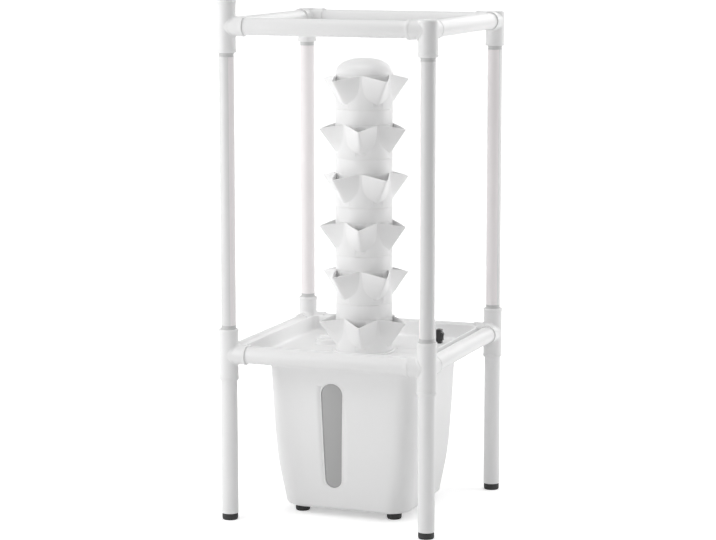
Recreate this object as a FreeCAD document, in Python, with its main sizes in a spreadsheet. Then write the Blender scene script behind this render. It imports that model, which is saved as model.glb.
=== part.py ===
import FreeCAD, Part
import os

import Sketcher
from FreeCAD import Placement, Rotation, Vector

# Vertical planter tower: a pipe frame whose upper posts are tube lamps, a water tank under a
# deck tray, and a stack of five-pocket planting tiers with a pump and riser inside.
# Millimetres, +Z up, +Y away from the front. The origin is on the floor under the tower's axis.

doc = FreeCAD.newDocument("PlanterTower")
sizes = doc.addObject("Spreadsheet::Sheet", "Sizes")

DRIVING_SIZES = [
    ("frame_width", 496, "post axis to post axis, left to right"),
    ("frame_depth", 500, "post axis to post axis, front to back"),
    ("deck_axis", 401, "height of the deck rails' axes"),
    ("ring_axis", 1174, "height of the top rails' axes"),
    ("overrun", 1, "how far a cutter passes the face it opens"),
    ("pipe_od", 40, "outer diameter of legs and rails"),
    ("pipe_wall", 2.4, "wall of legs and rails"),
    ("socket_wall", 2.8, "wall of the fittings' sockets"),
    ("socket_slip", 0.2, "radial clearance of a pipe in its socket"),
    ("post_reach", 61, "fitting centre to the end of an upright socket"),
    ("rail_reach", 48, "fitting centre to the end of a rail socket"),
    ("stop_reach", 22, "fitting centre to the stop where a pipe ends"),
    ("stop_lip", 4, "how far the stop reaches in under the pipe's end"),
    ("rail_step", 0.5, "how much slimmer a rail socket is than an upright one"),
    ("rail_way_step", 1.5, "how much narrower the way into a rail is"),
    ("crown_rise", 0.2, "closed top of a fitting, above its radius"),
    ("bead_width", 7, "bead round each socket's mouth"),
    ("bead_rise", 0.8, "how far a bead stands out"),
    ("leg_foot_height", 16, "black foot under a leg"),
    ("leg_foot_radius", 19, "that foot, where it shows"),
    ("leg_foot_spigot", 14, "how far that foot reaches up into the leg"),
    ("lamp_od", 36, "outer diameter of the lamps"),
    ("lamp_cap_height", 9, "dark ring of a lamp's end cap"),
    ("lamp_plug_short", 1, "how far a lamp's plug ends from the stop"),
    ("lamp_plug_slip", 0.5, "radial clearance of a lamp's plug in its socket"),
    ("lamp_top_gap", 0.6, "gap between a lamp and its upper socket"),
    ("lamp_skin", 1.6, "wall of a lamp's housing and diffuser"),
    ("lamp_seam", 2, "how far the seam lies behind the lamp's axis"),
    ("lamp_web", 1.6, "flat web that carries the LED board"),
    ("board_width", 14, "LED board"),
    ("board_thickness", 1.2, "LED board"),
    ("chip_size", 3, "LED chip, along and across"),
    ("chip_rise", 0.8, "LED chip"),
    ("chip_pitch", 30, "LED chip to LED chip"),
    ("lead_gland_radius", 7, "gland on the plug of the upward socket"),
    ("lead_gland_height", 10, "gland on the plug of the upward socket"),
    ("lead_bore_radius", 3, "hole for the lamps' lead"),
    ("plug_flange", 3, "flange of that plug"),
    ("plug_depth", 20, "spigot of that plug"),
    ("tank_foot_height", 18, "black foot under the tank"),
    ("tank_foot_radius", 18, "black foot under the tank"),
    ("tank_foot_x", 118, "tank axis to a foot, sideways"),
    ("tank_foot_y", 108, "tank axis to a foot, front to back"),
    ("tank_top", 378, "height of the tank's rim"),
    ("tank_bend", 120, "height where the wall turns in more"),
    ("tank_waist", 210, "height where the wall begins to turn in"),
    ("tank_wall", 3, "wall of the tank"),
    ("tank_rim_width", 6, "how far the rim stands out"),
    ("tank_rim_height", 10, "rim of the tank"),
    ("tank_top_half_x", 189, "tank at its top"),
    ("tank_top_half_y", 173, "tank at its top"),
    ("tank_top_corner", 45, "tank at its top"),
    ("tank_waist_half_x", 181.5, "tank at its waist"),
    ("tank_waist_half_y", 166.5, "tank at its waist"),
    ("tank_waist_corner", 48, "tank at its waist"),
    ("tank_bend_half_x", 175, "tank at the bend"),
    ("tank_bend_half_y", 161, "tank at the bend"),
    ("tank_bend_corner", 51, "tank at the bend"),
    ("tank_low_half_x", 161, "tank above its bottom edge"),
    ("tank_low_half_y", 153, "tank above its bottom edge"),
    ("tank_low_corner", 58, "tank above its bottom edge"),
    ("tank_edge_round", 10, "rounding of the tank's bottom edge"),
    ("window_x", -18, "centre of the level window"),
    ("window_low", 74, "lower end of the level window"),
    ("window_high", 330, "upper end of the level window"),
    ("window_low_width", 41, "level window, lower end"),
    ("window_high_width", 54, "level window, upper end"),
    ("tray_floor", 4, "thickness of the tray's floor"),
    ("tray_rim_top", 419, "top of the tray's rim"),
    ("tray_wall", 3, "wall of the tray's rim"),
    ("tray_gap", 1.5, "tray to the fittings' beads"),
    ("tray_corner", 22, "outer corner radius of the tray"),
    ("tray_skirt", 12, "skirt that drops into the tank's mouth"),
    ("tray_skirt_gap", 1.2, "skirt to the tank's wall"),
    ("tray_lug_width", 24, "lug that meets a deck rail"),
    ("tray_lug_height", 12, "lug that meets a deck rail"),
    ("tray_lug_offset", 110, "middle of a side to a lug"),
    ("tray_rib_width", 5, "raised radial rib"),
    ("tray_rib_rise", 1.6, "raised radial rib"),
    ("tray_rib_start", 92, "tower axis to a rib's inner end"),
    ("tray_rib_length", 102, "raised radial rib"),
    ("tray_rib_count", 12, "ribs round the tower"),
    ("drain_radius", 3, "drain hole round the base collar"),
    ("drain_circle", 84, "circle of the drain holes"),
    ("drain_count", 10, "drain holes"),
    ("filler_x", -120, "centre of the filler"),
    ("filler_y", 62, "centre of the filler"),
    ("filler_radius", 26, "filler hole"),
    ("filler_neck", 3, "raised neck round the filler hole"),
    ("filler_neck_rise", 8, "height of that neck"),
    ("filler_slip", 0.5, "clearance of the filler cap"),
    ("filler_cap_top", 3, "thickness of the filler cap"),
    ("filler_grip_width", 7, "grip bar on the filler cap"),
    ("filler_grip_rise", 8, "grip bar on the filler cap"),
    ("switch_x", 140, "centre of the switch box"),
    ("switch_setback", 69.7, "centre of the switch box to the tray's back"),
    ("switch_width", 13, "switch box, sideways"),
    ("switch_depth", 16, "switch box, front to back"),
    ("switch_height", 35, "switch box"),
    ("switch_wall", 1.6, "wall of the switch box"),
    ("rocker_width", 9, "rocker, front to back"),
    ("rocker_height", 16, "rocker, upright"),
    ("rocker_rise", 7, "how far the rocker stands out of the box"),
    ("rocker_press", 2.4, "how much less its pressed end stands out"),
    ("rocker_dip", 0.6, "how far the rocker's face dips at its middle"),
    ("rocker_depth", 3, "rocker inside the box"),
    ("rocker_gap", 0.6, "rocker to its bezel"),
    ("rocker_level", 17, "rocker's middle above the tray"),
    ("rocker_pin_radius", 0.8, "rocker's pin"),
    ("rocker_pin_slip", 0.05, "rocker's pin in the bezel"),
    ("rocker_pin_out", 0.5, "rocker's pin past the box's face"),
    ("bezel_wall", 1.7, "bezel round the rocker"),
    ("bezel_rise", 3, "how far the bezel stands out"),
    ("inlet_radius", 2.8, "bore of the power inlet"),
    ("inlet_length", 7, "depth of the power inlet"),
    ("inlet_wall", 2, "wall of the power inlet"),
    ("tier_pitch", 117, "tier to tier"),
    ("column_radius", 69, "outside of the column"),
    ("column_wall", 2.5, "wall of the column"),
    ("spigot_slip", 0.3, "radial clearance of a spigot in the column"),
    ("spigot_length", 12, "spigot of a sleeve"),
    ("spigot_wall", 2.5, "wall of a spigot"),
    ("tier_height", 82, "tier's foot to its top"),
    ("pocket_wall", 2.4, "wall of the pockets"),
    ("pocket_foot", 11, "tier's foot to where a pocket leaves the column"),
    ("pocket_tip_height", 69, "tier's foot to the tip of a pocket"),
    ("pocket_reach", 113, "tower axis to the tip of a pocket"),
    ("pocket_sink", 1.5, "how far inside the column's face two pockets meet"),
    ("root_way_width", 24, "way from a pocket into the column"),
    ("root_way_low", 26, "tier's foot to that way"),
    ("root_way_height", 34, "way from a pocket into the column"),
    ("front_turn", 29, "turn of the even tiers' front pocket from the view to the front, degrees"),
    ("view_turn", 20.7, "turn of the tower in its frame, degrees"),
    ("base_radius", 75, "flange under the tower"),
    ("base_flange", 4, "flange under the tower"),
    ("base_hole", 36.4, "hole in the tray under the tower"),
    ("base_slip", 0.4, "clearance of the base collar in that hole"),
    ("base_depth", 12, "base collar below the tray's upper face"),
    ("base_bore", 32, "bore of the base collar"),
    ("riser_radius", 10, "riser pipe"),
    ("riser_wall", 2, "riser pipe"),
    ("pump_radius", 30, "pump body"),
    ("pump_wall", 3, "pump body"),
    ("pump_height", 46, "pump body"),
    ("strainer_thickness", 3, "strainer plate under the pump"),
    ("strainer_slot_width", 3, "slot in the strainer plate"),
    ("strainer_slot_length", 16, "slot in the strainer plate"),
    ("strainer_slot_count", 6, "slots in the strainer plate"),
    ("cup_height", 7, "suction cup"),
    ("cup_radius", 9, "suction cup"),
    ("cup_neck_radius", 4, "suction cup at its top"),
    ("cup_circle", 19, "pump axis to a suction cup"),
    ("nozzle_slip", 0.3, "pump nozzle in the riser"),
    ("nozzle_height", 18, "pump nozzle"),
    ("nozzle_bore", 5, "pump nozzle"),
    ("shaft_radius", 2, "impeller shaft"),
    ("shaft_slip", 0.05, "impeller on its shaft"),
    ("shaft_past", 4, "shaft past the impeller"),
    ("thrust_ring", 2, "ring on which the impeller runs, past the shaft"),
    ("impeller_radius", 20, "impeller"),
    ("impeller_disc", 2.4, "impeller's disc"),
    ("impeller_height", 16, "impeller's blades"),
    ("impeller_hub", 6, "impeller's hub radius"),
    ("blade_thickness", 2, "impeller blade"),
    ("blade_count", 6, "impeller blades"),
    ("impeller_gap", 1, "impeller above the strainer plate"),
    ("plate_slip", 0.6, "distributor in the collar"),
    ("plate_thickness", 2.5, "distributor"),
    ("plate_rim", 6, "distributor's rim"),
    ("plate_hole_radius", 2, "distributor's holes"),
    ("plate_hole_circle", 50, "circle of those holes"),
    ("plate_hole_count", 10, "distributor's holes"),
    ("plate_socket_depth", 12, "socket over the riser's end"),
    ("plate_drop", 18, "distributor below the cap's spigot end"),
    ("cap_height", 39, "dome cap"),
    ("cap_wall", 2.5, "dome cap"),
    ("cap_root", 8, "how far the cap's spigot reaches up inside the dome"),
    ("cap_spigot", 15, "cap's spigot in the column"),
]
for row, (alias, value, note) in enumerate(DRIVING_SIZES, start=1):
    sizes.set(f"A{row}", alias)
    sizes.set(f"B{row}", str(value))
    sizes.setAlias(f"B{row}", alias)
    sizes.set(f"C{row}", note)
doc.recompute()

TIERS = 6
POCKETS = 5
PUMP_CUPS = 3
POST_SIDES = {"front_left": (-1, -1), "front_right": (1, -1), "back_right": (1, 1), "back_left": (-1, 1)}

# Lengths that several pieces share, as expressions on the sheet.
PIPE_RADIUS = "(Sizes.pipe_od / 2)"
SOCKET_BORE = "(Sizes.pipe_od / 2 + Sizes.socket_slip)"
SOCKET_RADIUS = "(Sizes.pipe_od / 2 + Sizes.socket_slip + Sizes.socket_wall)"
BEAD_RADIUS = f"({SOCKET_RADIUS} + Sizes.bead_rise)"
STOP_BORE = "(Sizes.pipe_od / 2 - Sizes.stop_lip)"
LAMP_LOW = "(Sizes.deck_axis + Sizes.post_reach)"
LAMP_HIGH = "(Sizes.ring_axis - Sizes.post_reach - Sizes.lamp_top_gap)"
LAMP_BODY_LENGTH = f"({LAMP_HIGH} - {LAMP_LOW} - 2 * Sizes.lamp_cap_height)"
LAMP_RADIUS = "(Sizes.lamp_od / 2)"
LAMP_BORE = "(Sizes.lamp_od / 2 - Sizes.lamp_skin)"
TRAY_HALF_X = f"(Sizes.frame_width / 2 - {BEAD_RADIUS} - Sizes.tray_gap)"
TRAY_HALF_Y = f"(Sizes.frame_depth / 2 - {BEAD_RADIUS} - Sizes.tray_gap)"
TRAY_TOP = "(Sizes.tank_top + Sizes.tray_floor)"
SWITCH_Y = f"({TRAY_HALF_Y} - Sizes.switch_setback)"
COLUMN_BORE = "(Sizes.column_radius - Sizes.column_wall)"
SPIGOT_RADIUS = f"({COLUMN_BORE} - Sizes.spigot_slip)"
SPIGOT_BORE = f"({SPIGOT_RADIUS} - Sizes.spigot_wall)"
RIDGE_SLOPE = "((Sizes.pocket_reach - Sizes.column_radius) / (Sizes.pocket_tip_height - Sizes.pocket_foot))"
RIM_SLOPE = "((Sizes.tier_height - Sizes.pocket_tip_height) / (Sizes.pocket_reach - Sizes.column_radius))"
PUMP_FLOOR = "(Sizes.tank_foot_height + Sizes.tank_wall)"
STRAINER_LOW = f"({PUMP_FLOOR} + Sizes.cup_height)"
PUMP_LOW = f"({STRAINER_LOW} + Sizes.strainer_thickness)"
PUMP_TOP = f"({PUMP_LOW} + Sizes.pump_height)"
TIER_FIRST = f"({TRAY_TOP} + Sizes.base_flange)"
TOP_TIER_FOOT = f"({TIER_FIRST} + {TIERS - 1} * Sizes.tier_pitch)"
CAP_SHOULDER = f"({TOP_TIER_FOOT} + Sizes.tier_height)"
RISER_TOP = f"({CAP_SHOULDER} - Sizes.cap_spigot - Sizes.plate_drop)"


def number(expression):
    """The present value of an expression on the sheet."""
    value = sizes.evalExpression(str(expression))
    return float(getattr(value, "Value", value))


def bind(item, **places):
    """Binds properties to expressions; a double underscore stands for a dot."""
    for name, expression in places.items():
        item.setExpression(name.replace("__", "."), str(expression))


def put(item, x=None, y=None, z=None, turn=None):
    """Turns an object, then binds its place."""
    if turn is not None:
        axis, angle = turn
        item.Placement = Placement(Vector(), Rotation(Vector(*axis), number(angle)))
    for name, expression in (("x", x), ("y", y), ("z", z)):
        if expression is not None:
            item.setExpression(f"Placement.Base.{name}", str(expression))
    return item


# Primitives and booleans

def cylinder(name, radius, height, x=None, y=None, z=None, turn=None):
    item = doc.addObject("Part::Cylinder", name)
    bind(item, Radius=radius, Height=height)
    return put(item, x, y, z, turn)


def box(name, length, width, height, x=None, y=None, z=None, turn=None):
    """A box centred on its own X and Y, standing on its own Z."""
    item = doc.addObject("Part::Box", name)
    bind(item, Length=length, Width=width, Height=height)
    x_place = f"({x or 0}) - ({length}) / 2"
    y_place = f"({y or 0}) - ({width}) / 2"
    return put(item, x_place, y_place, z, turn)


def fuse(name, items):
    result = doc.addObject("Part::MultiFuse", name)
    result.Shapes = items
    result.Refine = True
    return result


def group(name, items):
    """Several solids of one node, kept apart."""
    result = doc.addObject("Part::Compound", name)
    result.Links = items
    return result


def copy_of(name, source, x=None, y=None, z=None, turn=None):
    """The same shape again in a place of its own."""
    return put(group(name, [source]), x, y, z, turn)


def cut(name, base, tool):
    result = doc.addObject("Part::Cut", name)
    result.Base = base
    result.Tool = tool
    return result


def common(name, base, tool):
    result = doc.addObject("Part::Common", name)
    result.Base = base
    result.Tool = tool
    return result


# Sketches: every corner is held by its own pair of expressions

def new_body(name):
    return doc.addObject("PartDesign::Body", name)


def sketch_on(body, name, role="XY_Plane", lift=None):
    sketch = body.newObject("Sketcher::SketchObject", name)
    plane = next(feature for feature in body.Origin.OriginFeatures if feature.Role == role)
    sketch.AttachmentSupport = [(plane, "")]
    sketch.MapMode = "FlatFace"
    if lift is not None:
        sketch.setExpression("AttachmentOffset.Base.z", str(lift))
    return sketch


def hold(sketch, edge, end, x, y):
    """Holds one end of an edge at x, y, measured from the sketch's origin."""
    for kind, expression in (("DistanceX", x), ("DistanceY", y)):
        value = number(expression)
        index = sketch.addConstraint(Sketcher.Constraint(kind, -1, 1, edge, end, value))
        sketch.setExpression(f"Constraints[{index}]", str(expression))


def outline(sketch, corners):
    """A closed outline of straight edges through corners."""
    points = [Vector(number(x), number(y), 0) for x, y in corners]
    first = sketch.GeometryCount
    count = len(points)
    for index in range(count):
        sketch.addGeometry(Part.LineSegment(points[index], points[(index + 1) % count]), False)
    for index in range(count):
        sketch.addConstraint(Sketcher.Constraint(
            "Coincident", first + index, 2, first + (index + 1) % count, 1))
        hold(sketch, first + index, 1, *corners[index])


def rectangle(sketch, low_x, high_x, low_y, high_y):
    outline(sketch, [(low_x, low_y), (high_x, low_y), (high_x, high_y), (low_x, high_y)])


def ring_hole(sketch, radius, x="0", y="0"):
    """A circle about x, y."""
    centre = Vector(number(x), number(y), 0)
    edge = sketch.addGeometry(Part.Circle(centre, Vector(0, 0, 1), number(radius)), False)
    index = sketch.addConstraint(Sketcher.Constraint("Radius", edge, number(radius)))
    sketch.setExpression(f"Constraints[{index}]", str(radius))
    hold(sketch, edge, 3, x, y)


def rounded_rectangle(sketch, half_x, half_y, radius):
    """Four straight edges and four corner arcs about the origin."""
    inner_x = f"({half_x} - {radius})"
    inner_y = f"({half_y} - {radius})"
    sides = [
        ((f"-{inner_x}", f"-({half_y})"), (inner_x, f"-({half_y})")),
        ((half_x, f"-{inner_y}"), (half_x, inner_y)),
        ((inner_x, half_y), (f"-{inner_x}", half_y)),
        ((f"-({half_x})", inner_y), (f"-({half_x})", f"-{inner_y}")),
    ]
    first = sketch.GeometryCount
    value = number(radius)
    diagonal = value * (1 - 0.5 ** 0.5)
    for start, end in sides:
        sketch.addGeometry(Part.LineSegment(
            Vector(number(start[0]), number(start[1]), 0), Vector(number(end[0]), number(end[1]), 0)), False)
    for corner, (sign_x, sign_y) in enumerate(((1, -1), (1, 1), (-1, 1), (-1, -1))):
        start = Vector(*(number(part) for part in sides[corner][1]), 0)
        end = Vector(*(number(part) for part in sides[(corner + 1) % 4][0]), 0)
        middle = Vector(sign_x * (number(half_x) - diagonal), sign_y * (number(half_y) - diagonal), 0)
        arc = sketch.addGeometry(Part.Arc(start, middle, end), False)
        sketch.addConstraint(Sketcher.Constraint("Coincident", arc, 1, first + corner, 2))
        sketch.addConstraint(Sketcher.Constraint("Coincident", arc, 2, first + (corner + 1) % 4, 1))
        index = sketch.addConstraint(Sketcher.Constraint("Radius", arc, value))
        sketch.setExpression(f"Constraints[{index}]", str(radius))
    for side, (start, end) in enumerate(sides):
        hold(sketch, first + side, 1, *start)
        hold(sketch, first + side, 2, *end)


def star(sketch, tip, valley, shrink="1"):
    """The rim of a tier: a ridge for each pocket, and a valley between two."""
    corners = []
    for step in range(2 * POCKETS):
        radius = tip if step % 2 == 0 else valley
        angle = f"{step * 180 / POCKETS} deg"
        corners.append((f"{shrink} * {radius} * cos({angle})", f"{shrink} * {radius} * sin({angle})"))
    outline(sketch, corners)


def pad(body, sketch, length, reverse=False):
    feature = body.newObject("PartDesign::Pad", sketch.Name + "Pad")
    feature.Profile = sketch
    bind(feature, Length=length)
    feature.Reversed = reverse
    return feature


def pocket(body, sketch, length, reverse=False):
    feature = body.newObject("PartDesign::Pocket", sketch.Name + "Pocket")
    feature.Profile = sketch
    bind(feature, Length=length)
    feature.Reversed = reverse
    return feature


def repeat_round(body, feature, count):
    """Repeats a feature round the body's Z axis."""
    pattern = body.newObject("PartDesign::PolarPattern", feature.Name + "Round")
    pattern.Originals = [feature]
    axis = next(item for item in body.Origin.OriginFeatures if item.Role == "Z_Axis")
    pattern.Axis = (axis, [""])
    pattern.Angle = 360
    bind(pattern, Occurrences=count)
    body.Tip = pattern
    return pattern


def repeat_up(body, feature, pitch, count):
    """Repeats a feature along the body's Z axis."""
    pattern = body.newObject("PartDesign::LinearPattern", feature.Name + "Up")
    pattern.Originals = [feature]
    axis = next(item for item in body.Origin.OriginFeatures if item.Role == "Z_Axis")
    pattern.Direction = (axis, [""])
    bind(pattern, Length=f"{pitch} * ({count} - 1)", Occurrences=count)
    body.Tip = pattern
    return pattern


def loft(body, sketches, subtract=False):
    kind = "PartDesign::SubtractiveLoft" if subtract else "PartDesign::AdditiveLoft"
    feature = body.newObject(kind, sketches[0].Name + "Loft")
    feature.Profile = sketches[0]
    feature.Sections = sketches[1:]
    return feature


def turned(name, corners, x=None, y=None, z=None, turn=None):
    """A body turned about Z from corners given as (radius, height)."""
    body = new_body(name)
    sketch = sketch_on(body, name + "Section", "XZ_Plane")
    outline(sketch, corners)
    feature = body.newObject("PartDesign::Revolution", name + "Turning")
    feature.Profile = sketch
    feature.ReferenceAxis = (sketch, ["V_Axis"])
    feature.Angle = 360
    return put(body, x, y, z, turn)


def tube(name, radius, wall, length, x=None, y=None, z=None, turn=None):
    inner = f"({radius} - {wall})"
    corners = [(inner, "0"), (radius, "0"), (radius, length), (inner, length)]
    return turned(name, corners, x, y, z, turn)


parts = {}


def keep(node, item):
    """Names the object that is written as a node."""
    item.Label = node
    parts[node] = item
    return item


# Frame: legs, feet, fittings and rails

ALONG_X = ((0, 1, 0), 90)
ALONG_Y = ((1, 0, 0), -90)
BACK_ALONG_X = ((0, 1, 0), -90)
BACK_ALONG_Y = ((1, 0, 0), 90)


def post_place(side):
    sign_x, sign_y = POST_SIDES[side]
    return f"{sign_x} * Sizes.frame_width / 2", f"{sign_y} * Sizes.frame_depth / 2"


def corner_fitting(node, side, axis_height, up):
    """A fitting at a post: an upright body, open or closed at its top, and a socket for each of two rails."""
    sign_x, sign_y = POST_SIDES[side]
    x, y = post_place(side)
    reach = "Sizes.post_reach"
    top = reach if up else f"({SOCKET_RADIUS} + Sizes.crown_rise)"
    past_stop = "Sizes.stop_reach"
    depth = f"({reach} - {past_stop} + Sizes.overrun)"
    bottom = f"{axis_height} - {reach}"
    solids = [cylinder(f"{node}Upright", SOCKET_RADIUS, f"{reach} + {top}", x, y, bottom),
              cylinder(f"{node}LowBead", BEAD_RADIUS, "Sizes.bead_width", x, y, bottom)]
    hollows = [cylinder(f"{node}LowBore", SOCKET_BORE, depth, x, y, f"{bottom} - Sizes.overrun"),
               cylinder(f"{node}Way", STOP_BORE, f"{reach} + {reach if up else STOP_BORE}", x, y,
                        f"{bottom} - Sizes.overrun")]
    if up:
        solids.append(cylinder(f"{node}HighBead", BEAD_RADIUS, "Sizes.bead_width", x, y,
                               f"{axis_height} + {reach} - Sizes.bead_width"))
        hollows.append(cylinder(f"{node}HighBore", SOCKET_BORE, depth, x, y, f"{axis_height} + {past_stop}"))
    runs = [("X", BACK_ALONG_X if sign_x > 0 else ALONG_X, -sign_x, 0),
            ("Y", BACK_ALONG_Y if sign_y > 0 else ALONG_Y, 0, -sign_y)]
    bead_start = "(Sizes.rail_reach - Sizes.bead_width)"
    for run, turn, step_x, step_y in runs:
        solids.append(cylinder(f"{node}{run}Socket", f"{SOCKET_RADIUS} - Sizes.rail_step", "Sizes.rail_reach",
                               x, y, axis_height, turn))
        solids.append(cylinder(f"{node}{run}Bead", f"{BEAD_RADIUS} - Sizes.rail_step", "Sizes.bead_width",
                               f"{x} + {step_x} * {bead_start}", f"{y} + {step_y} * {bead_start}", axis_height, turn))
        hollows.append(cylinder(f"{node}{run}Bore", SOCKET_BORE, f"Sizes.rail_reach - {past_stop} + Sizes.overrun",
                                f"{x} + {step_x} * {past_stop}", f"{y} + {step_y} * {past_stop}", axis_height, turn))
        hollows.append(cylinder(f"{node}{run}Way", f"{STOP_BORE} - Sizes.rail_way_step",
                                f"{past_stop} + Sizes.overrun", x, y, axis_height, turn))
    return keep(node, cut(f"{node}Fitting", fuse(f"{node}Outside", solids), fuse(f"{node}Inside", hollows)))


def leg(side):
    x, y = post_place(side)
    length = "Sizes.deck_axis - Sizes.stop_reach - Sizes.leg_foot_height"
    keep(f"leg_{side}", tube(
        f"Leg_{side}", PIPE_RADIUS, "Sizes.pipe_wall", length, x, y, "Sizes.leg_foot_height"))


def leg_foot(side):
    """A black foot on which the leg's end stands, with a spigot up into the leg."""
    x, y = post_place(side)
    spigot = f"({PIPE_RADIUS} - Sizes.pipe_wall - Sizes.socket_slip)"
    top = "(Sizes.leg_foot_height + Sizes.leg_foot_spigot)"
    corners = [("0", "0"), ("Sizes.leg_foot_radius", "0"), ("Sizes.leg_foot_radius", "Sizes.leg_foot_height"),
               (spigot, "Sizes.leg_foot_height"), (spigot, top), ("0", top)]
    return turned(f"LegFoot_{side}", corners, x, y)


def rails(level, axis_height):
    """Four rails of a ring, each from stop to stop."""
    for side, sign in (("front", -1), ("back", 1)):
        keep(f"{level}_rail_{side}", tube(
            f"{level}Rail_{side}", PIPE_RADIUS, "Sizes.pipe_wall",
            "Sizes.frame_width - 2 * Sizes.stop_reach",
            "Sizes.stop_reach - Sizes.frame_width / 2", f"{sign} * Sizes.frame_depth / 2", axis_height, ALONG_X))
    for side, sign in (("left", -1), ("right", 1)):
        keep(f"{level}_rail_{side}", tube(
            f"{level}Rail_{side}", PIPE_RADIUS, "Sizes.pipe_wall",
            "Sizes.frame_depth - 2 * Sizes.stop_reach",
            f"{sign} * Sizes.frame_width / 2", "Sizes.stop_reach - Sizes.frame_depth / 2", axis_height, ALONG_Y))


def socket_plug():
    """Closes the upward socket of the front left top fitting, with a gland for the lamps' lead."""
    x, y = post_place("front_left")
    bore = "Sizes.lead_bore_radius"
    spigot = f"({SOCKET_BORE} - Sizes.socket_slip)"
    flange = "Sizes.plug_flange"
    top = f"({flange} + Sizes.lead_gland_height)"
    corners = [(bore, "-Sizes.plug_depth"), (spigot, "-Sizes.plug_depth"), (spigot, "0"), (SOCKET_RADIUS, "0"),
               (SOCKET_RADIUS, flange), ("Sizes.lead_gland_radius", flange), ("Sizes.lead_gland_radius", top),
               (bore, top)]
    keep("socket_plug", turned("SocketPlug", corners, x, y, "Sizes.ring_axis + Sizes.post_reach"))


def make_frame():
    feet = []
    for side in POST_SIDES:
        leg(side)
        feet.append(leg_foot(side))
        corner_fitting(f"deck_corner_{side}", side, "Sizes.deck_axis", True)
        corner_fitting(f"top_corner_{side}", side, "Sizes.ring_axis", side == "front_left")
    keep("leg_feet", group("LegFeet", feet))
    rails("deck", "Sizes.deck_axis")
    rails("top", "Sizes.ring_axis")
    socket_plug()


# Lamps: each turns about its post's axis. In a lamp's own frame the light leaves along +X.

def lamp_shapes():
    """The housing, diffuser and LED board that all four lamps share, standing on the origin."""
    length = LAMP_BODY_LENGTH
    back = "-Sizes.lamp_seam"
    web = box("LampWeb", "Sizes.lamp_web", "Sizes.lamp_od", length, f"{back} - Sizes.lamp_web / 2")
    hollow = cut("LampHollow", cylinder("LampInner", LAMP_BORE, length), web)
    skin = cut("LampSkin", cylinder("LampOuter", LAMP_RADIUS, length), hollow)
    side = "(Sizes.lamp_od + 2 * Sizes.overrun)"
    behind = box("LampBehind", side, side, length, f"{back} - {side} / 2")
    ahead = box("LampAhead", side, side, length, f"{back} + {side} / 2")

    board = new_body("BoardBody")
    strip = sketch_on(board, "BoardStrip")
    face = f"({back} + Sizes.board_thickness)"
    rectangle(strip, back, face, "-Sizes.board_width / 2", "Sizes.board_width / 2")
    pad(board, strip, length)
    chip = sketch_on(board, "BoardChip", "XY_Plane", "Sizes.chip_pitch / 2")
    chip_face = f"({face} + Sizes.chip_rise)"
    rectangle(chip, face, chip_face, "-Sizes.chip_size / 2", "Sizes.chip_size / 2")
    chips = pad(board, chip, "Sizes.chip_size")
    repeat_up(board, chips, "Sizes.chip_pitch", f"floor({length} / Sizes.chip_pitch)")
    return common("LampHousing", skin, behind), common("LampDiffuser", skin, ahead), board


def lamp_caps(side):
    """The dark ring and plug at each end of a lamp."""
    x, y = post_place(side)
    plug = f"({SOCKET_BORE} - Sizes.lamp_plug_slip)"
    plug_depth = "(Sizes.post_reach - Sizes.stop_reach - Sizes.lamp_plug_short)"
    cap_height = "Sizes.lamp_cap_height"
    corners = [("0", f"-{plug_depth}"), (plug, f"-{plug_depth}"), (plug, "0"), (LAMP_RADIUS, "0"),
               (LAMP_RADIUS, cap_height), ("0", cap_height)]
    bottom_cap = turned(f"LampFoot_{side}", corners, x, y, LAMP_LOW)
    top_cap = turned(f"LampHead_{side}", corners, x, y, LAMP_HIGH, ((1, 0, 0), 180))
    keep(f"lamp_caps_{side}", group(f"LampCaps_{side}", [bottom_cap, top_cap]))


def make_lamps():
    shapes = lamp_shapes()
    low = f"({LAMP_LOW} + Sizes.lamp_cap_height)"
    for side, facing in (("front_left", 45), ("front_right", 135), ("back_right", -135), ("back_left", -45)):
        x, y = post_place(side)
        for piece, shape in zip(("housing", "diffuser", "board"), shapes):
            keep(f"lamp_{piece}_{side}", copy_of(f"Lamp{piece}_{side}", shape, x, y, low, ((0, 0, 1), facing)))
        lamp_caps(side)


# Reservoir: tank, window, feet, tray, filler cap

def tank_block(name, inset):
    """The tank's outside set back by an inset, with a rounded bottom edge."""
    body = new_body(name)
    low = f"(Sizes.tank_foot_height + {inset})"
    edge = f"(Sizes.tank_edge_round - {inset})"
    stations = []
    halfway = "(1 - cos(45 deg))"
    for station, share_in, share_up in (("Floor", "1", "0"), ("Turn", halfway, halfway), ("Low", "0", "1")):
        stations.append((station, f"{low} + {edge} * {share_up}", "low", f"({inset} + {edge} * {share_in})"))
    stations.append(("Bend", "Sizes.tank_bend", "bend", inset))
    stations.append(("Waist", "Sizes.tank_waist", "waist", inset))
    stations.append(("Top", "Sizes.tank_top", "top", inset))
    sections = []
    for station, height, family, back in stations:
        sketch = sketch_on(body, f"{name}{station}", "XY_Plane", height)
        lengths = (f"(Sizes.tank_{family}_{length} - {back})" for length in ("half_x", "half_y", "corner"))
        rounded_rectangle(sketch, *lengths)
        sections.append(sketch)
    block = loft(body, sections)
    block.Ruled = True
    body.Tip = block
    return body


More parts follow.
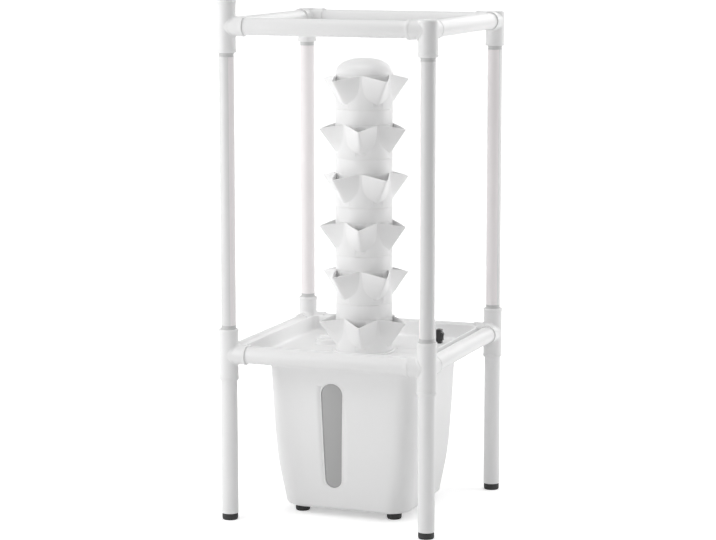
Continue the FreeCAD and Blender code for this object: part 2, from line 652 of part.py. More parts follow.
def make_tank():
    rim_body = new_body("TankRimBody")
    rim = sketch_on(rim_body, "TankRim", "XY_Plane", "Sizes.tank_top - Sizes.tank_rim_height")
    rounded_rectangle(rim, "(Sizes.tank_top_half_x + Sizes.tank_rim_width)",
                      "(Sizes.tank_top_half_y + Sizes.tank_rim_width)",
                      "(Sizes.tank_top_corner + Sizes.tank_rim_width)")
    pad(rim_body, rim, "Sizes.tank_rim_height")
    outside = fuse("TankOutside", [tank_block("TankOut", "0"), rim_body])
    walls = cut("TankWalls", outside, tank_block("TankIn", "Sizes.tank_wall"))

    window = new_body("WindowBlock")
    face = sketch_on(window, "WindowOutline", "XZ_Plane")
    window_outline(face)
    pad(window, face, "Sizes.tank_top_half_y + Sizes.tank_rim_width")
    keep("tank_shell", cut("TankShell", walls, window))
    keep("level_window", common("LevelWindow", walls, window))

    feet = []
    for side, (sign_x, sign_y) in POST_SIDES.items():
        feet.append(cylinder(f"TankFoot_{side}", "Sizes.tank_foot_radius", "Sizes.tank_foot_height",
                             f"{sign_x} * Sizes.tank_foot_x", f"{sign_y} * Sizes.tank_foot_y"))
    keep("tank_feet", group("TankFeet", feet))


def window_outline(sketch):
    """A long slot, wider at its top, with round ends and sides tangent to both."""
    centre_x = "Sizes.window_x"
    ends = {
        "low": ("Sizes.window_low_width / 2", "Sizes.window_low + Sizes.window_low_width / 2"),
        "high": ("Sizes.window_high_width / 2", "Sizes.window_high - Sizes.window_high_width / 2"),
    }
    middle = number(centre_x)
    arcs = {}
    for name, sign in (("low", -1), ("high", 1)):
        radius, level = (number(part) for part in ends[name])
        arcs[name] = sketch.addGeometry(Part.Arc(
            Vector(middle - sign * -radius, level, 0), Vector(middle, level + sign * radius, 0),
            Vector(middle + sign * -radius, level, 0)), False)
        hold(sketch, arcs[name], 3, centre_x, ends[name][1])
        index = sketch.addConstraint(Sketcher.Constraint("Radius", arcs[name], radius))
        sketch.setExpression(f"Constraints[{index}]", ends[name][0])
    low_half, low_level = (number(part) for part in ends["low"])
    high_half, high_level = (number(part) for part in ends["high"])
    right = sketch.addGeometry(Part.LineSegment(
        Vector(middle + low_half, low_level, 0), Vector(middle + high_half, high_level, 0)), False)
    left = sketch.addGeometry(Part.LineSegment(
        Vector(middle - high_half, high_level, 0), Vector(middle - low_half, low_level, 0)), False)
    for line, line_end, arc, arc_end in (
            (right, 2, arcs["high"], 1), (left, 1, arcs["high"], 2),
            (left, 2, arcs["low"], 1), (right, 1, arcs["low"], 2)):
        sketch.addConstraint(Sketcher.Constraint("Tangent", line, line_end, arc, arc_end))


def make_tray():
    body = new_body("TrayBody")
    inner_x = f"({TRAY_HALF_X} - Sizes.tray_wall)"
    inner_y = f"({TRAY_HALF_Y} - Sizes.tray_wall)"
    block = sketch_on(body, "TrayBlock", "XY_Plane", "Sizes.tank_top")
    rounded_rectangle(block, TRAY_HALF_X, TRAY_HALF_Y, "Sizes.tray_corner")
    pad(body, block, "Sizes.tray_rim_top - Sizes.tank_top")
    well = sketch_on(body, "TrayWell", "XY_Plane", TRAY_TOP)
    rounded_rectangle(well, inner_x, inner_y, "(Sizes.tray_corner - Sizes.tray_wall)")
    pocket(body, well, f"Sizes.tray_rim_top - {TRAY_TOP}", reverse=True)

    skirt_gap = "(Sizes.tank_wall + Sizes.tray_skirt_gap)"
    skirt = sketch_on(body, "TraySkirt", "XY_Plane", "Sizes.tank_top - Sizes.tray_skirt")
    for inset in (skirt_gap, f"({skirt_gap} + Sizes.tray_wall)"):
        rounded_rectangle(skirt, f"(Sizes.tank_top_half_x - {inset})", f"(Sizes.tank_top_half_y - {inset})",
                          f"(Sizes.tank_top_corner - {inset})")
    pad(body, skirt, "Sizes.tray_skirt")

    lugs = sketch_on(body, "TrayLugs", "XY_Plane", "Sizes.deck_axis - Sizes.tray_lug_height / 2")
    start_x = f"({TRAY_HALF_X} - Sizes.tray_wall / 2)"
    start_y = f"({TRAY_HALF_Y} - Sizes.tray_wall / 2)"
    end_x = f"(Sizes.frame_width / 2 - {PIPE_RADIUS})"
    end_y = f"(Sizes.frame_depth / 2 - {PIPE_RADIUS})"
    for spot in ("(-Sizes.tray_lug_offset)", "Sizes.tray_lug_offset"):
        near = f"({spot} - Sizes.tray_lug_width / 2)"
        far = f"({spot} + Sizes.tray_lug_width / 2)"
        rectangle(lugs, start_x, end_x, near, far)
        rectangle(lugs, f"-{end_x}", f"-{start_x}", near, far)
        rectangle(lugs, near, far, start_y, end_y)
        rectangle(lugs, near, far, f"-{end_y}", f"-{start_y}")
    pad(body, lugs, "Sizes.tray_lug_height")

    neck = sketch_on(body, "FillerNeck", "XY_Plane", TRAY_TOP)
    ring_hole(neck, "Sizes.filler_radius + Sizes.filler_neck", "Sizes.filler_x", "Sizes.filler_y")
    pad(body, neck, "Sizes.filler_neck_rise")

    rib = sketch_on(body, "TrayRib", "XY_Plane", TRAY_TOP)
    rib_half = "Sizes.tray_rib_width / 2"
    rib_end = "(Sizes.tray_rib_start + Sizes.tray_rib_length)"
    rectangle(rib, "Sizes.tray_rib_start", rib_end, f"-{rib_half}", rib_half)
    ribs = pad(body, rib, "Sizes.tray_rib_rise")
    repeat_round(body, ribs, "Sizes.tray_rib_count")

    drain = sketch_on(body, "TrayDrain", "XY_Plane", TRAY_TOP)
    ring_hole(drain, "Sizes.drain_radius", "Sizes.drain_circle", "0")
    drains = pocket(body, drain, "Sizes.tray_floor")
    repeat_round(body, drains, "Sizes.drain_count")

    holes = sketch_on(body, "TrayHoles", "XY_Plane", f"{TRAY_TOP} + Sizes.filler_neck_rise")
    ring_hole(holes, "Sizes.filler_radius", "Sizes.filler_x", "Sizes.filler_y")
    ring_hole(holes, "Sizes.base_hole")
    body.Tip = pocket(body, holes, "Sizes.tray_floor + Sizes.filler_neck_rise")
    keep("deck_tray", body)

    radius = "(Sizes.filler_radius + Sizes.filler_neck)"
    stopper = "(Sizes.filler_radius - Sizes.filler_slip)"
    top = "(Sizes.filler_cap_top)"
    disc = turned("FillerDisc", [
        ("0", "-Sizes.filler_neck_rise"), (stopper, "-Sizes.filler_neck_rise"), (stopper, "0"), (radius, "0"),
        (radius, top), ("0", top)])
    grip = box("FillerGrip", "2 * Sizes.filler_radius - Sizes.filler_grip_width", "Sizes.filler_grip_width",
               "Sizes.filler_grip_rise", None, None, top)
    filler = fuse("FillerStopper", [disc, grip])
    keep("filler_cap", copy_of("FillerCap", filler, "Sizes.filler_x", "Sizes.filler_y",
                               f"{TRAY_TOP} + Sizes.filler_neck_rise"))


# Switch box on the tray, with its rocker and power inlet

def make_switch():
    base = TRAY_TOP
    x, y = "Sizes.switch_x", SWITCH_Y
    face = f"({x} + Sizes.switch_width / 2)"
    level = f"({base} + Sizes.rocker_level)"
    hole_width = "(Sizes.rocker_width + 2 * Sizes.rocker_gap)"
    hole_height = "(Sizes.rocker_height + 2 * Sizes.rocker_gap)"
    bezel_depth = "(Sizes.bezel_rise + Sizes.switch_wall)"
    pin_x = f"({face} + Sizes.rocker_pin_out)"

    outside = box("SwitchOutside", "Sizes.switch_width", "Sizes.switch_depth", "Sizes.switch_height", x, y, base)
    inside = box("SwitchInside", "Sizes.switch_width - 2 * Sizes.switch_wall",
                 "Sizes.switch_depth - 2 * Sizes.switch_wall", "Sizes.switch_height - 2 * Sizes.switch_wall",
                 x, y, f"{base} + Sizes.switch_wall")
    bezel_middle = f"{face} + (Sizes.bezel_rise - Sizes.switch_wall) / 2"
    bezel = box("Bezel", bezel_depth, f"{hole_width} + 2 * Sizes.bezel_wall",
                f"{hole_height} + 2 * Sizes.bezel_wall", bezel_middle, y,
                f"{level} - {hole_height} / 2 - Sizes.bezel_wall")
    hole = box("BezelHole", f"{bezel_depth} + 2 * Sizes.overrun", hole_width, hole_height, bezel_middle, y,
               f"{level} - {hole_height} / 2")
    pin_bore = cylinder("PinBore", "Sizes.rocker_pin_radius + Sizes.rocker_pin_slip",
                        f"{hole_width} + 2 * Sizes.bezel_wall", pin_x,
                        f"{y} + {hole_width} / 2 + Sizes.bezel_wall", level, BACK_ALONG_Y)
    inlet_low = f"({base} + Sizes.switch_height - Sizes.inlet_length)"
    sleeve = cylinder("InletSleeve", "Sizes.inlet_radius + Sizes.inlet_wall", "Sizes.inlet_length", x, y, inlet_low)
    bore = cylinder("InletBore", "Sizes.inlet_radius", "Sizes.inlet_length", x, y, inlet_low)
    shell = cut("SwitchShell", outside, inside)
    body = fuse("SwitchBody", [shell, bezel, sleeve])
    keep("switch_box", cut("SwitchBox", body, fuse("SwitchHoles", [hole, pin_bore, bore])))

    paddle = new_body("RockerBody")
    profile = sketch_on(paddle, "RockerSide", "XZ_Plane")
    half = "(Sizes.rocker_height / 2)"
    inner = "(-Sizes.rocker_depth - Sizes.rocker_pin_out)"
    top = "(Sizes.rocker_rise - Sizes.rocker_pin_out)"
    low = f"({top} - Sizes.rocker_press)"
    outline(profile, [(inner, f"-{half}"), (low, f"-{half}"), (f"({low} + {top}) / 2 - Sizes.rocker_dip", "0"),
                      (top, half), (inner, half)])
    pad(paddle, profile, "Sizes.rocker_width").Midplane = True
    drum_length = "(Sizes.rocker_width + 2 * Sizes.overrun)"
    drum = cylinder("RockerDrum", half, drum_length, "0", f"{drum_length} / 2", "0", BACK_ALONG_Y)
    pin_length = f"({hole_width} + 2 * Sizes.bezel_wall - 2 * Sizes.rocker_gap)"
    pin = cylinder("RockerPin", "Sizes.rocker_pin_radius", pin_length, "0", f"{pin_length} / 2", "0", BACK_ALONG_Y)
    rocker = fuse("RockerWhole", [common("RockerPaddle", paddle, drum), pin])
    keep("rocker", copy_of("Rocker", rocker, pin_x, y, level))


# Pump and riser

def make_pump():
    cups = []
    for step in range(PUMP_CUPS):
        angle = f"({step * 360 / PUMP_CUPS + 90} deg)"
        cups.append(turned(f"SuctionCup{step}", [
            ("0", "0"), ("Sizes.cup_radius", "0"), ("Sizes.cup_neck_radius", "Sizes.cup_height"),
            ("0", "Sizes.cup_height")],
            f"Sizes.cup_circle * cos{angle}", f"Sizes.cup_circle * sin{angle}", PUMP_FLOOR))
    keep("pump_cups", group("PumpCups", cups))

    plate = new_body("StrainerBody")
    disc = sketch_on(plate, "StrainerDisc", "XY_Plane")
    ring_hole(disc, "Sizes.pump_radius")
    pad(plate, disc, "Sizes.strainer_thickness")
    slot = sketch_on(plate, "StrainerSlot", "XY_Plane", "Sizes.strainer_thickness")
    slot_start = "(Sizes.shaft_radius + 2 * Sizes.thrust_ring)"
    slot_half = "Sizes.strainer_slot_width / 2"
    rectangle(slot, slot_start, f"{slot_start} + Sizes.strainer_slot_length", f"-{slot_half}", slot_half)
    slots = pocket(plate, slot, "Sizes.strainer_thickness")
    repeat_round(plate, slots, "Sizes.strainer_slot_count")
    shaft = sketch_on(plate, "PumpShaft", "XY_Plane", "Sizes.strainer_thickness")
    ring_hole(shaft, "Sizes.shaft_radius")
    pad(plate, shaft, "Sizes.impeller_gap + Sizes.impeller_height + Sizes.shaft_past")
    boss = sketch_on(plate, "ThrustBoss", "XY_Plane", "Sizes.strainer_thickness")
    ring_hole(boss, "Sizes.shaft_radius + Sizes.thrust_ring")
    plate.Tip = pad(plate, boss, "Sizes.impeller_gap")
    keep("pump_strainer", put(plate, None, None, STRAINER_LOW))

    radius = "Sizes.pump_radius"
    inner = "(Sizes.pump_radius - Sizes.pump_wall)"
    roof = "(Sizes.pump_height - Sizes.pump_wall)"
    nozzle = "(Sizes.riser_radius - Sizes.riser_wall - Sizes.nozzle_slip)"
    nozzle_top = "(Sizes.pump_height + Sizes.nozzle_height)"
    keep("pump_body", turned("PumpBody", [
        (inner, "0"), (radius, "0"), (radius, "Sizes.pump_height"), (nozzle, "Sizes.pump_height"),
        (nozzle, nozzle_top), ("Sizes.nozzle_bore", nozzle_top), ("Sizes.nozzle_bore", roof), (inner, roof)],
        None, None, PUMP_LOW))

    wheel = new_body("ImpellerBody")
    hub = sketch_on(wheel, "ImpellerHub", "XY_Plane")
    ring_hole(hub, "Sizes.impeller_hub")
    pad(wheel, hub, "Sizes.impeller_height")
    plate_disc = sketch_on(wheel, "ImpellerDisc", "XY_Plane")
    ring_hole(plate_disc, "Sizes.impeller_radius")
    pad(wheel, plate_disc, "Sizes.impeller_disc")
    blade = sketch_on(wheel, "ImpellerBlade", "XY_Plane")
    blade_half = "Sizes.blade_thickness / 2"
    blade_start = "(Sizes.impeller_hub - Sizes.blade_thickness / 2)"
    blade_end = "(Sizes.impeller_radius - Sizes.blade_thickness / 2)"
    rectangle(blade, blade_start, blade_end, f"-{blade_half}", blade_half)
    blades = pad(wheel, blade, "Sizes.impeller_height")
    repeat_round(wheel, blades, "Sizes.blade_count")
    bore = sketch_on(wheel, "ImpellerBore", "XY_Plane", "Sizes.impeller_height")
    ring_hole(bore, "Sizes.shaft_radius + Sizes.shaft_slip")
    wheel.Tip = pocket(wheel, bore, "Sizes.impeller_height")
    keep("pump_impeller", put(wheel, None, None, f"{PUMP_LOW} + Sizes.impeller_gap"))

    keep("riser_pipe", tube("RiserPipe", "Sizes.riser_radius", "Sizes.riser_wall", f"{RISER_TOP} - {PUMP_TOP}",
                            None, None, PUMP_TOP))


# Tower: base, tiers, sleeves, distributor, cap

def wall_share(tip, valley):
    """The share that sets a star's flanks back by the pockets' wall."""
    half = f"{180 / POCKETS} deg"
    flank = f"sqrt({tip} ^ 2 + {valley} ^ 2 - 2 * {tip} * {valley} * cos({half}))"
    return f"(1 - Sizes.pocket_wall * {flank} / ({tip} * {valley} * sin({half})))"


def tier_shape():
    """A length of the column with five pockets round it, standing on the origin.

    A pocket's ridge runs straight out and up from the column, and its rim falls straight to the tip.
    """
    body = new_body("TierBody")
    valley = "(Sizes.column_radius - Sizes.pocket_sink)"
    rise = "(Sizes.tier_height - Sizes.pocket_foot)"
    stations = [
        ("Foot", "Sizes.pocket_foot", "Sizes.column_radius"),
        ("Top", "Sizes.tier_height", f"(Sizes.column_radius + {RIDGE_SLOPE} * {rise})"),
    ]
    outside = []
    for name, height, tip in stations:
        sketch = sketch_on(body, f"TierOut{name}", "XY_Plane", height)
        star(sketch, tip, valley)
        outside.append(sketch)
    loft(body, outside).Ruled = True

    inside = []
    for name, height, tip in stations:
        level = f"{height} + Sizes.pocket_wall" if name == "Foot" else height
        sketch = sketch_on(body, f"TierIn{name}", "XY_Plane", level)
        star(sketch, tip, valley, wall_share(tip, valley))
        inside.append(sketch)
    loft(body, inside, subtract=True).Ruled = True

    column = sketch_on(body, "TierColumn", "XY_Plane")
    ring_hole(column, "Sizes.column_radius")
    ring_hole(column, COLUMN_BORE)
    pad(body, column, "Sizes.tier_height")
    bore = sketch_on(body, "TierBore", "XY_Plane", "Sizes.tier_height")
    ring_hole(bore, COLUMN_BORE)
    pocket(body, bore, "Sizes.tier_height")

    root_way = sketch_on(body, "RootWay", "XY_Plane", "Sizes.root_way_low + Sizes.root_way_height")
    half_way = "Sizes.root_way_width / 2"
    rectangle(root_way, f"{COLUMN_BORE} - Sizes.pocket_wall", "Sizes.column_radius + Sizes.overrun",
              f"-{half_way}", half_way)
    ways = pocket(body, root_way, "Sizes.root_way_height")
    repeat_round(body, ways, str(POCKETS))

    trim = sketch_on(body, "TierTrim", "XZ_Plane")
    high = "(Sizes.tier_height + 2 * Sizes.overrun)"
    reach = f"(Sizes.column_radius + {RIDGE_SLOPE} * {rise} + Sizes.overrun)"
    inner = "Sizes.column_radius"
    outline(trim, [(inner, "Sizes.tier_height"), (reach, f"Sizes.tier_height - {RIM_SLOPE} * ({reach} - {inner})"),
                   (reach, high), (inner, high)])
    groove = body.newObject("PartDesign::Groove", "TierRimCut")
    groove.Profile = trim
    groove.ReferenceAxis = (trim, ["V_Axis"])
    groove.Angle = 360
    body.Tip = groove
    return body


def make_sleeve(index):
    """The plain length of column between two tiers, with a spigot at each end."""
    low = "Sizes.tier_height"
    high = "Sizes.tier_pitch"
    outer = "Sizes.column_radius"
    return turned(f"Sleeve{index}", [
        (SPIGOT_BORE, f"{low} - Sizes.spigot_length"), (SPIGOT_RADIUS, f"{low} - Sizes.spigot_length"),
        (SPIGOT_RADIUS, low), (outer, low), (outer, high), (SPIGOT_RADIUS, high),
        (SPIGOT_RADIUS, f"{high} + Sizes.spigot_length"), (SPIGOT_BORE, f"{high} + Sizes.spigot_length")],
        None, None, f"{TIER_FIRST} + {index - 1} * Sizes.tier_pitch")


def make_tower():
    flange_top = "Sizes.base_flange"
    collar = "(Sizes.base_hole - Sizes.base_slip)"
    spigot_top = f"({flange_top} + Sizes.spigot_length)"
    keep("tower_base", turned("TowerBase", [
        ("Sizes.base_bore", "-Sizes.base_depth"), (collar, "-Sizes.base_depth"), (collar, "0"),
        ("Sizes.base_radius", "0"), ("Sizes.base_radius", flange_top), (SPIGOT_RADIUS, flange_top),
        (SPIGOT_RADIUS, spigot_top), (SPIGOT_BORE, spigot_top), (SPIGOT_BORE, flange_top),
        ("Sizes.base_bore", flange_top)], None, None, TRAY_TOP))
    shape = tier_shape()
    for index in range(1, TIERS + 1):
        half_step = 180 / POCKETS if (TIERS - index) % 2 else 0
        keep(f"tier_{index}", copy_of(
            f"Tier{index}", shape, None, None, f"{TIER_FIRST} + {index - 1} * Sizes.tier_pitch",
            ((0, 0, 1), f"Sizes.front_turn + Sizes.view_turn - 90 + {half_step}")))
    keep("neck_sleeves", group("NeckSleeves", [make_sleeve(index) for index in range(1, TIERS)]))

    plate = f"({COLUMN_BORE} - Sizes.plate_slip)"
    socket = "(Sizes.riser_radius + Sizes.socket_slip)"
    socket_outer = f"({socket} + Sizes.plate_thickness)"
    bore = "(Sizes.riser_radius - Sizes.riser_wall)"
    body = new_body("DistributorBody")
    section = sketch_on(body, "DistributorSection", "XZ_Plane")
    outline(section, [
        (bore, "0"), (socket, "0"), (socket, "-Sizes.plate_socket_depth"),
        (socket_outer, "-Sizes.plate_socket_depth"), (socket_outer, "0"), (plate, "0"), (plate, "Sizes.plate_rim"),
        (f"{plate} - Sizes.plate_thickness", "Sizes.plate_rim"),
        (f"{plate} - Sizes.plate_thickness", "Sizes.plate_thickness"), (bore, "Sizes.plate_thickness")])
    turning = body.newObject("PartDesign::Revolution", "DistributorTurning")
    turning.Profile = section
    turning.ReferenceAxis = (section, ["V_Axis"])
    turning.Angle = 360
    hole = sketch_on(body, "DistributorHole", "XY_Plane", "Sizes.plate_thickness")
    ring_hole(hole, "Sizes.plate_hole_radius", "Sizes.plate_hole_circle", "0")
    holes = pocket(body, hole, "Sizes.plate_thickness")
    repeat_round(body, holes, "Sizes.plate_hole_count")
    keep("distributor", put(body, None, None, RISER_TOP))


def make_cap():
    """A shallow dome as wide as the column; its edge stands on the top tier and its spigot in it."""
    dome_steps = [("1", "0"), ("1", "0.1"), ("0.985", "0.25"), ("0.93", "0.5"), ("0.85", "0.67"), ("0.76", "0.77"),
                  ("0.65", "0.86"), ("0.5", "0.93"), ("0.33", "0.975"), ("0.16", "0.995"), ("0", "1")]
    shells = []
    for inset in ("0", "Sizes.cap_wall"):
        shells.append([(f"(Sizes.column_radius - {inset}) * {across}", f"(Sizes.cap_height - {inset}) * {up}")
                       for across, up in dome_steps])
    dome = turned("CapDome", shells[0] + shells[1][::-1])
    root = "(Sizes.column_radius - Sizes.cap_wall / 2)"
    spigot = turned("CapSpigot", [
        (SPIGOT_BORE, "-Sizes.cap_spigot"), (SPIGOT_RADIUS, "-Sizes.cap_spigot"), (SPIGOT_RADIUS, "0"), (root, "0"),
        (root, "Sizes.cap_root"), (SPIGOT_BORE, "Sizes.cap_root")])
    keep("dome_cap", copy_of("DomeCap", fuse("CapWhole", [dome, spigot]), None, None, CAP_SHOULDER))


make_frame()
make_lamps()
make_tank()
make_tray()
make_switch()
make_pump()
make_tower()
make_cap()
doc.recompute()

for item in doc.Objects:
    if "Invalid" in item.State or "Error" in item.State:
        raise RuntimeError(f"{item.Name} ({item.Label}) failed: {item.State}")
os.makedirs("parts", exist_ok=True)
for node, item in parts.items():
    shape = item.Shape
    if shape.isNull() or not shape.isValid():
        raise RuntimeError(f"{node} has no sound shape")
    shape.exportStep(f"parts/{node}.step")
    print(f"{node}: {len(shape.Solids)} solid(s), {shape.Volume / 1000:.1f} cm3")
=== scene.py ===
import math
from functools import cache

import bmesh
import bpy
import numpy as np
from bpy.props import FloatProperty, FloatVectorProperty, IntProperty, PointerProperty
from bpy.types import NodeSocket, Operator, Panel, PropertyGroup
from mathutils import Matrix, Vector


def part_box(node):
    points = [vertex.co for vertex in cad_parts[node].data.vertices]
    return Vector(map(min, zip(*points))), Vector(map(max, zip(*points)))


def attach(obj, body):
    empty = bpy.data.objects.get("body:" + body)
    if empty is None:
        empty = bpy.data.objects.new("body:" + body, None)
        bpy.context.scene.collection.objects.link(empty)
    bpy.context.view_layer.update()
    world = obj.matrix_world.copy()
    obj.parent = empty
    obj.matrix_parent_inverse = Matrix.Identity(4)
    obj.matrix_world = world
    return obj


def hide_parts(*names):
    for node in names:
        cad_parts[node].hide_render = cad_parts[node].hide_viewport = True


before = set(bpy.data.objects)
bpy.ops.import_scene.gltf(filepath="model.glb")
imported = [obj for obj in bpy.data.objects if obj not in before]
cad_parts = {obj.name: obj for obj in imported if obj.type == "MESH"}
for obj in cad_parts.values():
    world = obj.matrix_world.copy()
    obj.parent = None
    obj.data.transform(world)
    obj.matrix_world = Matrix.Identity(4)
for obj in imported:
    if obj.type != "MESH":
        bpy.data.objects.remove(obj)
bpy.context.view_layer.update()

bl_info = {
    "name": "Vertical Planter Tower",
    "version": (1, 0, 0),
    "blender": (4, 5, 0),
    "location": "3D View > Sidebar > Planter",
    "description": "Dresses the planter tower, its tank and its lamp frame",
    "category": "Object",
}

ROOT = "frame_tank_tower"
SIDES = {"front_left": (-1, -1), "front_right": (1, -1), "back_right": (1, 1), "back_left": (-1, 1)}
POCKETS = 5
TURN = 2 * math.pi
SPIGOT_RISE = 0.016


# Places read from the frame

def middle(node):
    low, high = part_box(node)
    return (low + high) / 2


def extent(node):
    low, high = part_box(node)
    return high - low


TIERS = sorted(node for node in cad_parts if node.startswith("tier_"))
TIER_FOOT, TIER_TOP = (corner.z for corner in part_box(TIERS[0]))
TIER_HEIGHT = TIER_TOP - TIER_FOOT
POSTS = {side: middle(f"leg_{side}").xy for side in SIDES}
PIPE_RADIUS = extent("leg_front_left").x / 2
DECK_AXIS = middle("deck_rail_front").z
RING_AXIS = middle("top_rail_front").z
POST_REACH = extent("deck_corner_front_left").z / 2
TRAY_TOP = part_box("tower_base")[1].z - SPIGOT_RISE
TANK_LOW, TANK_HIGH = (corner.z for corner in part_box("tank_shell"))
LAMP_LOW, LAMP_HIGH = (corner.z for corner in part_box("lamp_housing_front_left"))


# Sizes and colours that a user would change

def length(name, description, default):
    return FloatProperty(name=name, description=description, default=default, unit="LENGTH", min=0, precision=5)


def colour(name, description, grey, tint=(0, 0, 0)):
    value = tuple(min(1, grey + part) for part in tint)
    return FloatVectorProperty(name=name, description=description, default=value, subtype="COLOR", size=3, min=0, max=1)


class PlanterFrameSizes(PropertyGroup):
    socket_radius: length("Socket", "Outer radius of an upright socket", 0.0230)
    rail_socket_radius: length("Rail socket", "Outer radius of a rail's socket", 0.0225)
    socket_bore: length("Bore", "Radius of a socket's bore", 0.0202)
    rail_reach: length("Rail reach", "Fitting centre to the mouth of a rail socket", 0.048)
    stop_reach: length("Stop", "Fitting centre to the stop inside a socket", 0.022)
    crown: length("Crown", "Height of a closed fitting above its centre", 0.0232)
    crown_round: length("Crown round", "Rounding of a closed fitting's top edge", 0.0060)
    bead_width: length("Bead width", "Width of the bead round a mouth", 0.007)
    bead_rise: length("Bead rise", "How far that bead stands out", 0.00078)
    fillet: length("Fillet", "Round where two sockets meet", 0.0040)
    lamp_radius: length("Lamp", "Outer radius of the tube lamps", 0.0180)
    lamp_plug: length("Lamp plug", "Radius of a lamp's plug in its socket", 0.0197)


class PlanterTankSizes(PropertyGroup):
    wall: length("Wall", "Wall of the tank", 0.003)
    edge_round: length("Edge", "Rounding of the bottom edge", 0.011)
    rim_width: length("Rim", "How far the rim stands out", 0.006)
    rim_height: length("Rim height", "Height of the rim", 0.010)
    bezel_width: length("Bezel", "Width of the raised band round the window", 0.0035)
    bezel_rise: length("Bezel rise", "How far that band stands out", 0.0007)
    tray_wall: length("Tray wall", "Wall of the deck tray", 0.003)
    tray_corner: length("Tray corner", "Outer corner radius of the deck tray", 0.022)
    rib_rise: length("Rib rise", "Height of the tray's radial ribs", 0.0016)
    rib_width: length("Rib width", "Width of the tray's radial ribs", 0.005)
    rib_count: IntProperty(name="Ribs", description="Radial ribs on the deck tray", default=12, min=3, max=48)


class PlanterTowerSizes(PropertyGroup):
    column_radius: length("Column", "Outer radius of the column", 0.069)
    column_bore: length("Column bore", "Inner radius of the column", 0.0665)
    spigot: length("Spigot", "Outer radius of the spigots inside the column", 0.0662)
    spigot_wall: length("Spigot wall", "Wall of those spigots", 0.0025)
    spigot_reach: length("Spigot reach", "How far a sleeve's spigot goes into a tier", 0.012)
    pocket_foot: length("Pocket foot", "A tier's foot to where its pockets leave the column", 0.011)
    pocket_tip: length("Pocket tip", "A tier's foot to the tips of its pockets", 0.069)
    pocket_reach: length("Pocket reach", "Tower axis to the tip of a pocket", 0.113)
    pocket_wall: length("Pocket wall", "Wall of the pockets", 0.0024)
    ridge_round: length("Ridge round", "Rounding of a pocket's ridge", 0.0040)
    root_way_width: length("Root way", "Width of the way from a pocket into the column", 0.024)
    root_way_low: length("Root way foot", "A tier's foot to that way", 0.026)
    root_way_high: length("Root way head", "A tier's foot to the top of that way", 0.060)
    cap_wall: length("Cap wall", "Wall of the dome cap", 0.0025)


class PlanterColours(PropertyGroup):
    frame_white: colour("Frame", "Pipes and fittings", 0.86)
    tank_white: colour("Tank", "Water tank", 0.90)
    tray_white: colour("Tray", "Deck tray", 0.93)
    tower_white: colour("Tower", "Pockets, column and cap", 0.91)
    housing_grey: colour("Housing", "Lamp housings", 0.78)
    diffuser_rose: colour("Diffuser", "Lamp diffusers", 0.93, (0.02, -0.02, -0.015))
    board_white: colour("Boards", "LED boards", 0.78, (0, 0, -0.04))
    window_grey: colour("Window", "Level window", 0.40)
    cap_grey: colour("Lamp caps", "End caps of the lamps", 0.62)
    black: colour("Black", "Feet, switch box and pump", 0.012)


# Arrays of points

def soften(corners, steps=4, closed=True):
    """Each corner C, given as (x, y, radius), becomes a quadratic curve (1-t)^2 A + 2t(1-t) C + t^2 B, whose ends A
    and B lie on the two edges, the radius away from C or at most 0.45 of the edge."""
    corners = np.array(corners, float)
    t = np.linspace(0, 1, steps + 1)[:, None]
    curves = []
    for index, corner in enumerate(corners):
        here = corner[None, :2]
        if not closed and index in (0, len(corners) - 1):
            curves.append(here)
            continue
        ends = []
        for neighbour in (index - 1, (index + 1) % len(corners)):
            edge = corners[neighbour, :2] - corner[:2]
            size = np.linalg.norm(edge)
            ends.append(here + edge / size * min(corner[2], 0.45 * size))
        curves.append((1 - t) ** 2 * ends[0] + 2 * t * (1 - t) * here + t ** 2 * ends[1])
    return np.concatenate(curves)


def refine(outline, step, closed=False):
    """More points on the long straight stretches of an outline."""
    if closed:
        outline = np.concatenate([outline, outline[:1]])
    fine = [outline[:1]]
    for start, end in zip(outline[:-1], outline[1:]):
        count = max(1, int(np.ceil(np.linalg.norm(end - start) / step)))
        fine.append(start + (end - start) * (np.arange(1, count + 1) / count)[:, None])
    fine = np.concatenate(fine)
    return fine[:-1] if closed else fine


def smooth_curve(x, knots, values):
    """Cubic Hermite through the knots, whose slope at a knot is the mean of the slopes on its two sides."""
    knots = np.array(knots, float)
    values = np.array(values, float)
    slopes = np.diff(values) / np.diff(knots)
    tangents = np.concatenate([slopes[:1], (slopes[:-1] + slopes[1:]) / 2, slopes[-1:]])
    span = np.clip(np.searchsorted(knots, x, side="right") - 1, 0, len(knots) - 2)
    width = knots[span + 1] - knots[span]
    t = np.clip((x - knots[span]) / width, 0, 1)
    return ((2 * t ** 3 - 3 * t ** 2 + 1) * values[span] + (t ** 3 - 2 * t ** 2 + t) * width * tangents[span]
            + (3 * t ** 2 - 2 * t ** 3) * values[span + 1] + (t ** 3 - t ** 2) * width * tangents[span + 1])


def lathe(profile, centre=(0, 0, 0), axis=(0, 0, 1), columns=96):
    """Rows of (radius, height) turned about an axis: centre + radius (u cos a + v sin a) + height axis."""
    profile = np.array(profile, float)
    axis = Vector(axis).normalized()
    side = axis.orthogonal().normalized()
    u, v, w = (np.array(part) for part in (side, axis.cross(side), axis))
    angle = np.arange(columns) * TURN / columns
    circle = np.cos(angle)[:, None] * u + np.sin(angle)[:, None] * v
    return np.array(centre) + profile[:, 0, None, None] * circle + profile[:, 1, None, None] * w


def turned(corners, centre=(0, 0, 0), columns=96, steps=4, closed=False):
    """Softened corners (radius, height, rounding) turned about an upright axis."""
    return lathe(soften(corners, steps, closed), centre, columns=columns)


def tube(bore, radius, low, high, rounding):
    """The corners of a tube's wall, all with one rounding."""
    return [(bore, low, rounding), (radius, low, rounding), (radius, high, rounding), (bore, high, rounding)]


def rod(radius, low, high, centre, columns=96):
    """A plain cylinder."""
    return lathe([(0, low), (radius, low), (radius, high), (0, high)], centre, columns=columns)


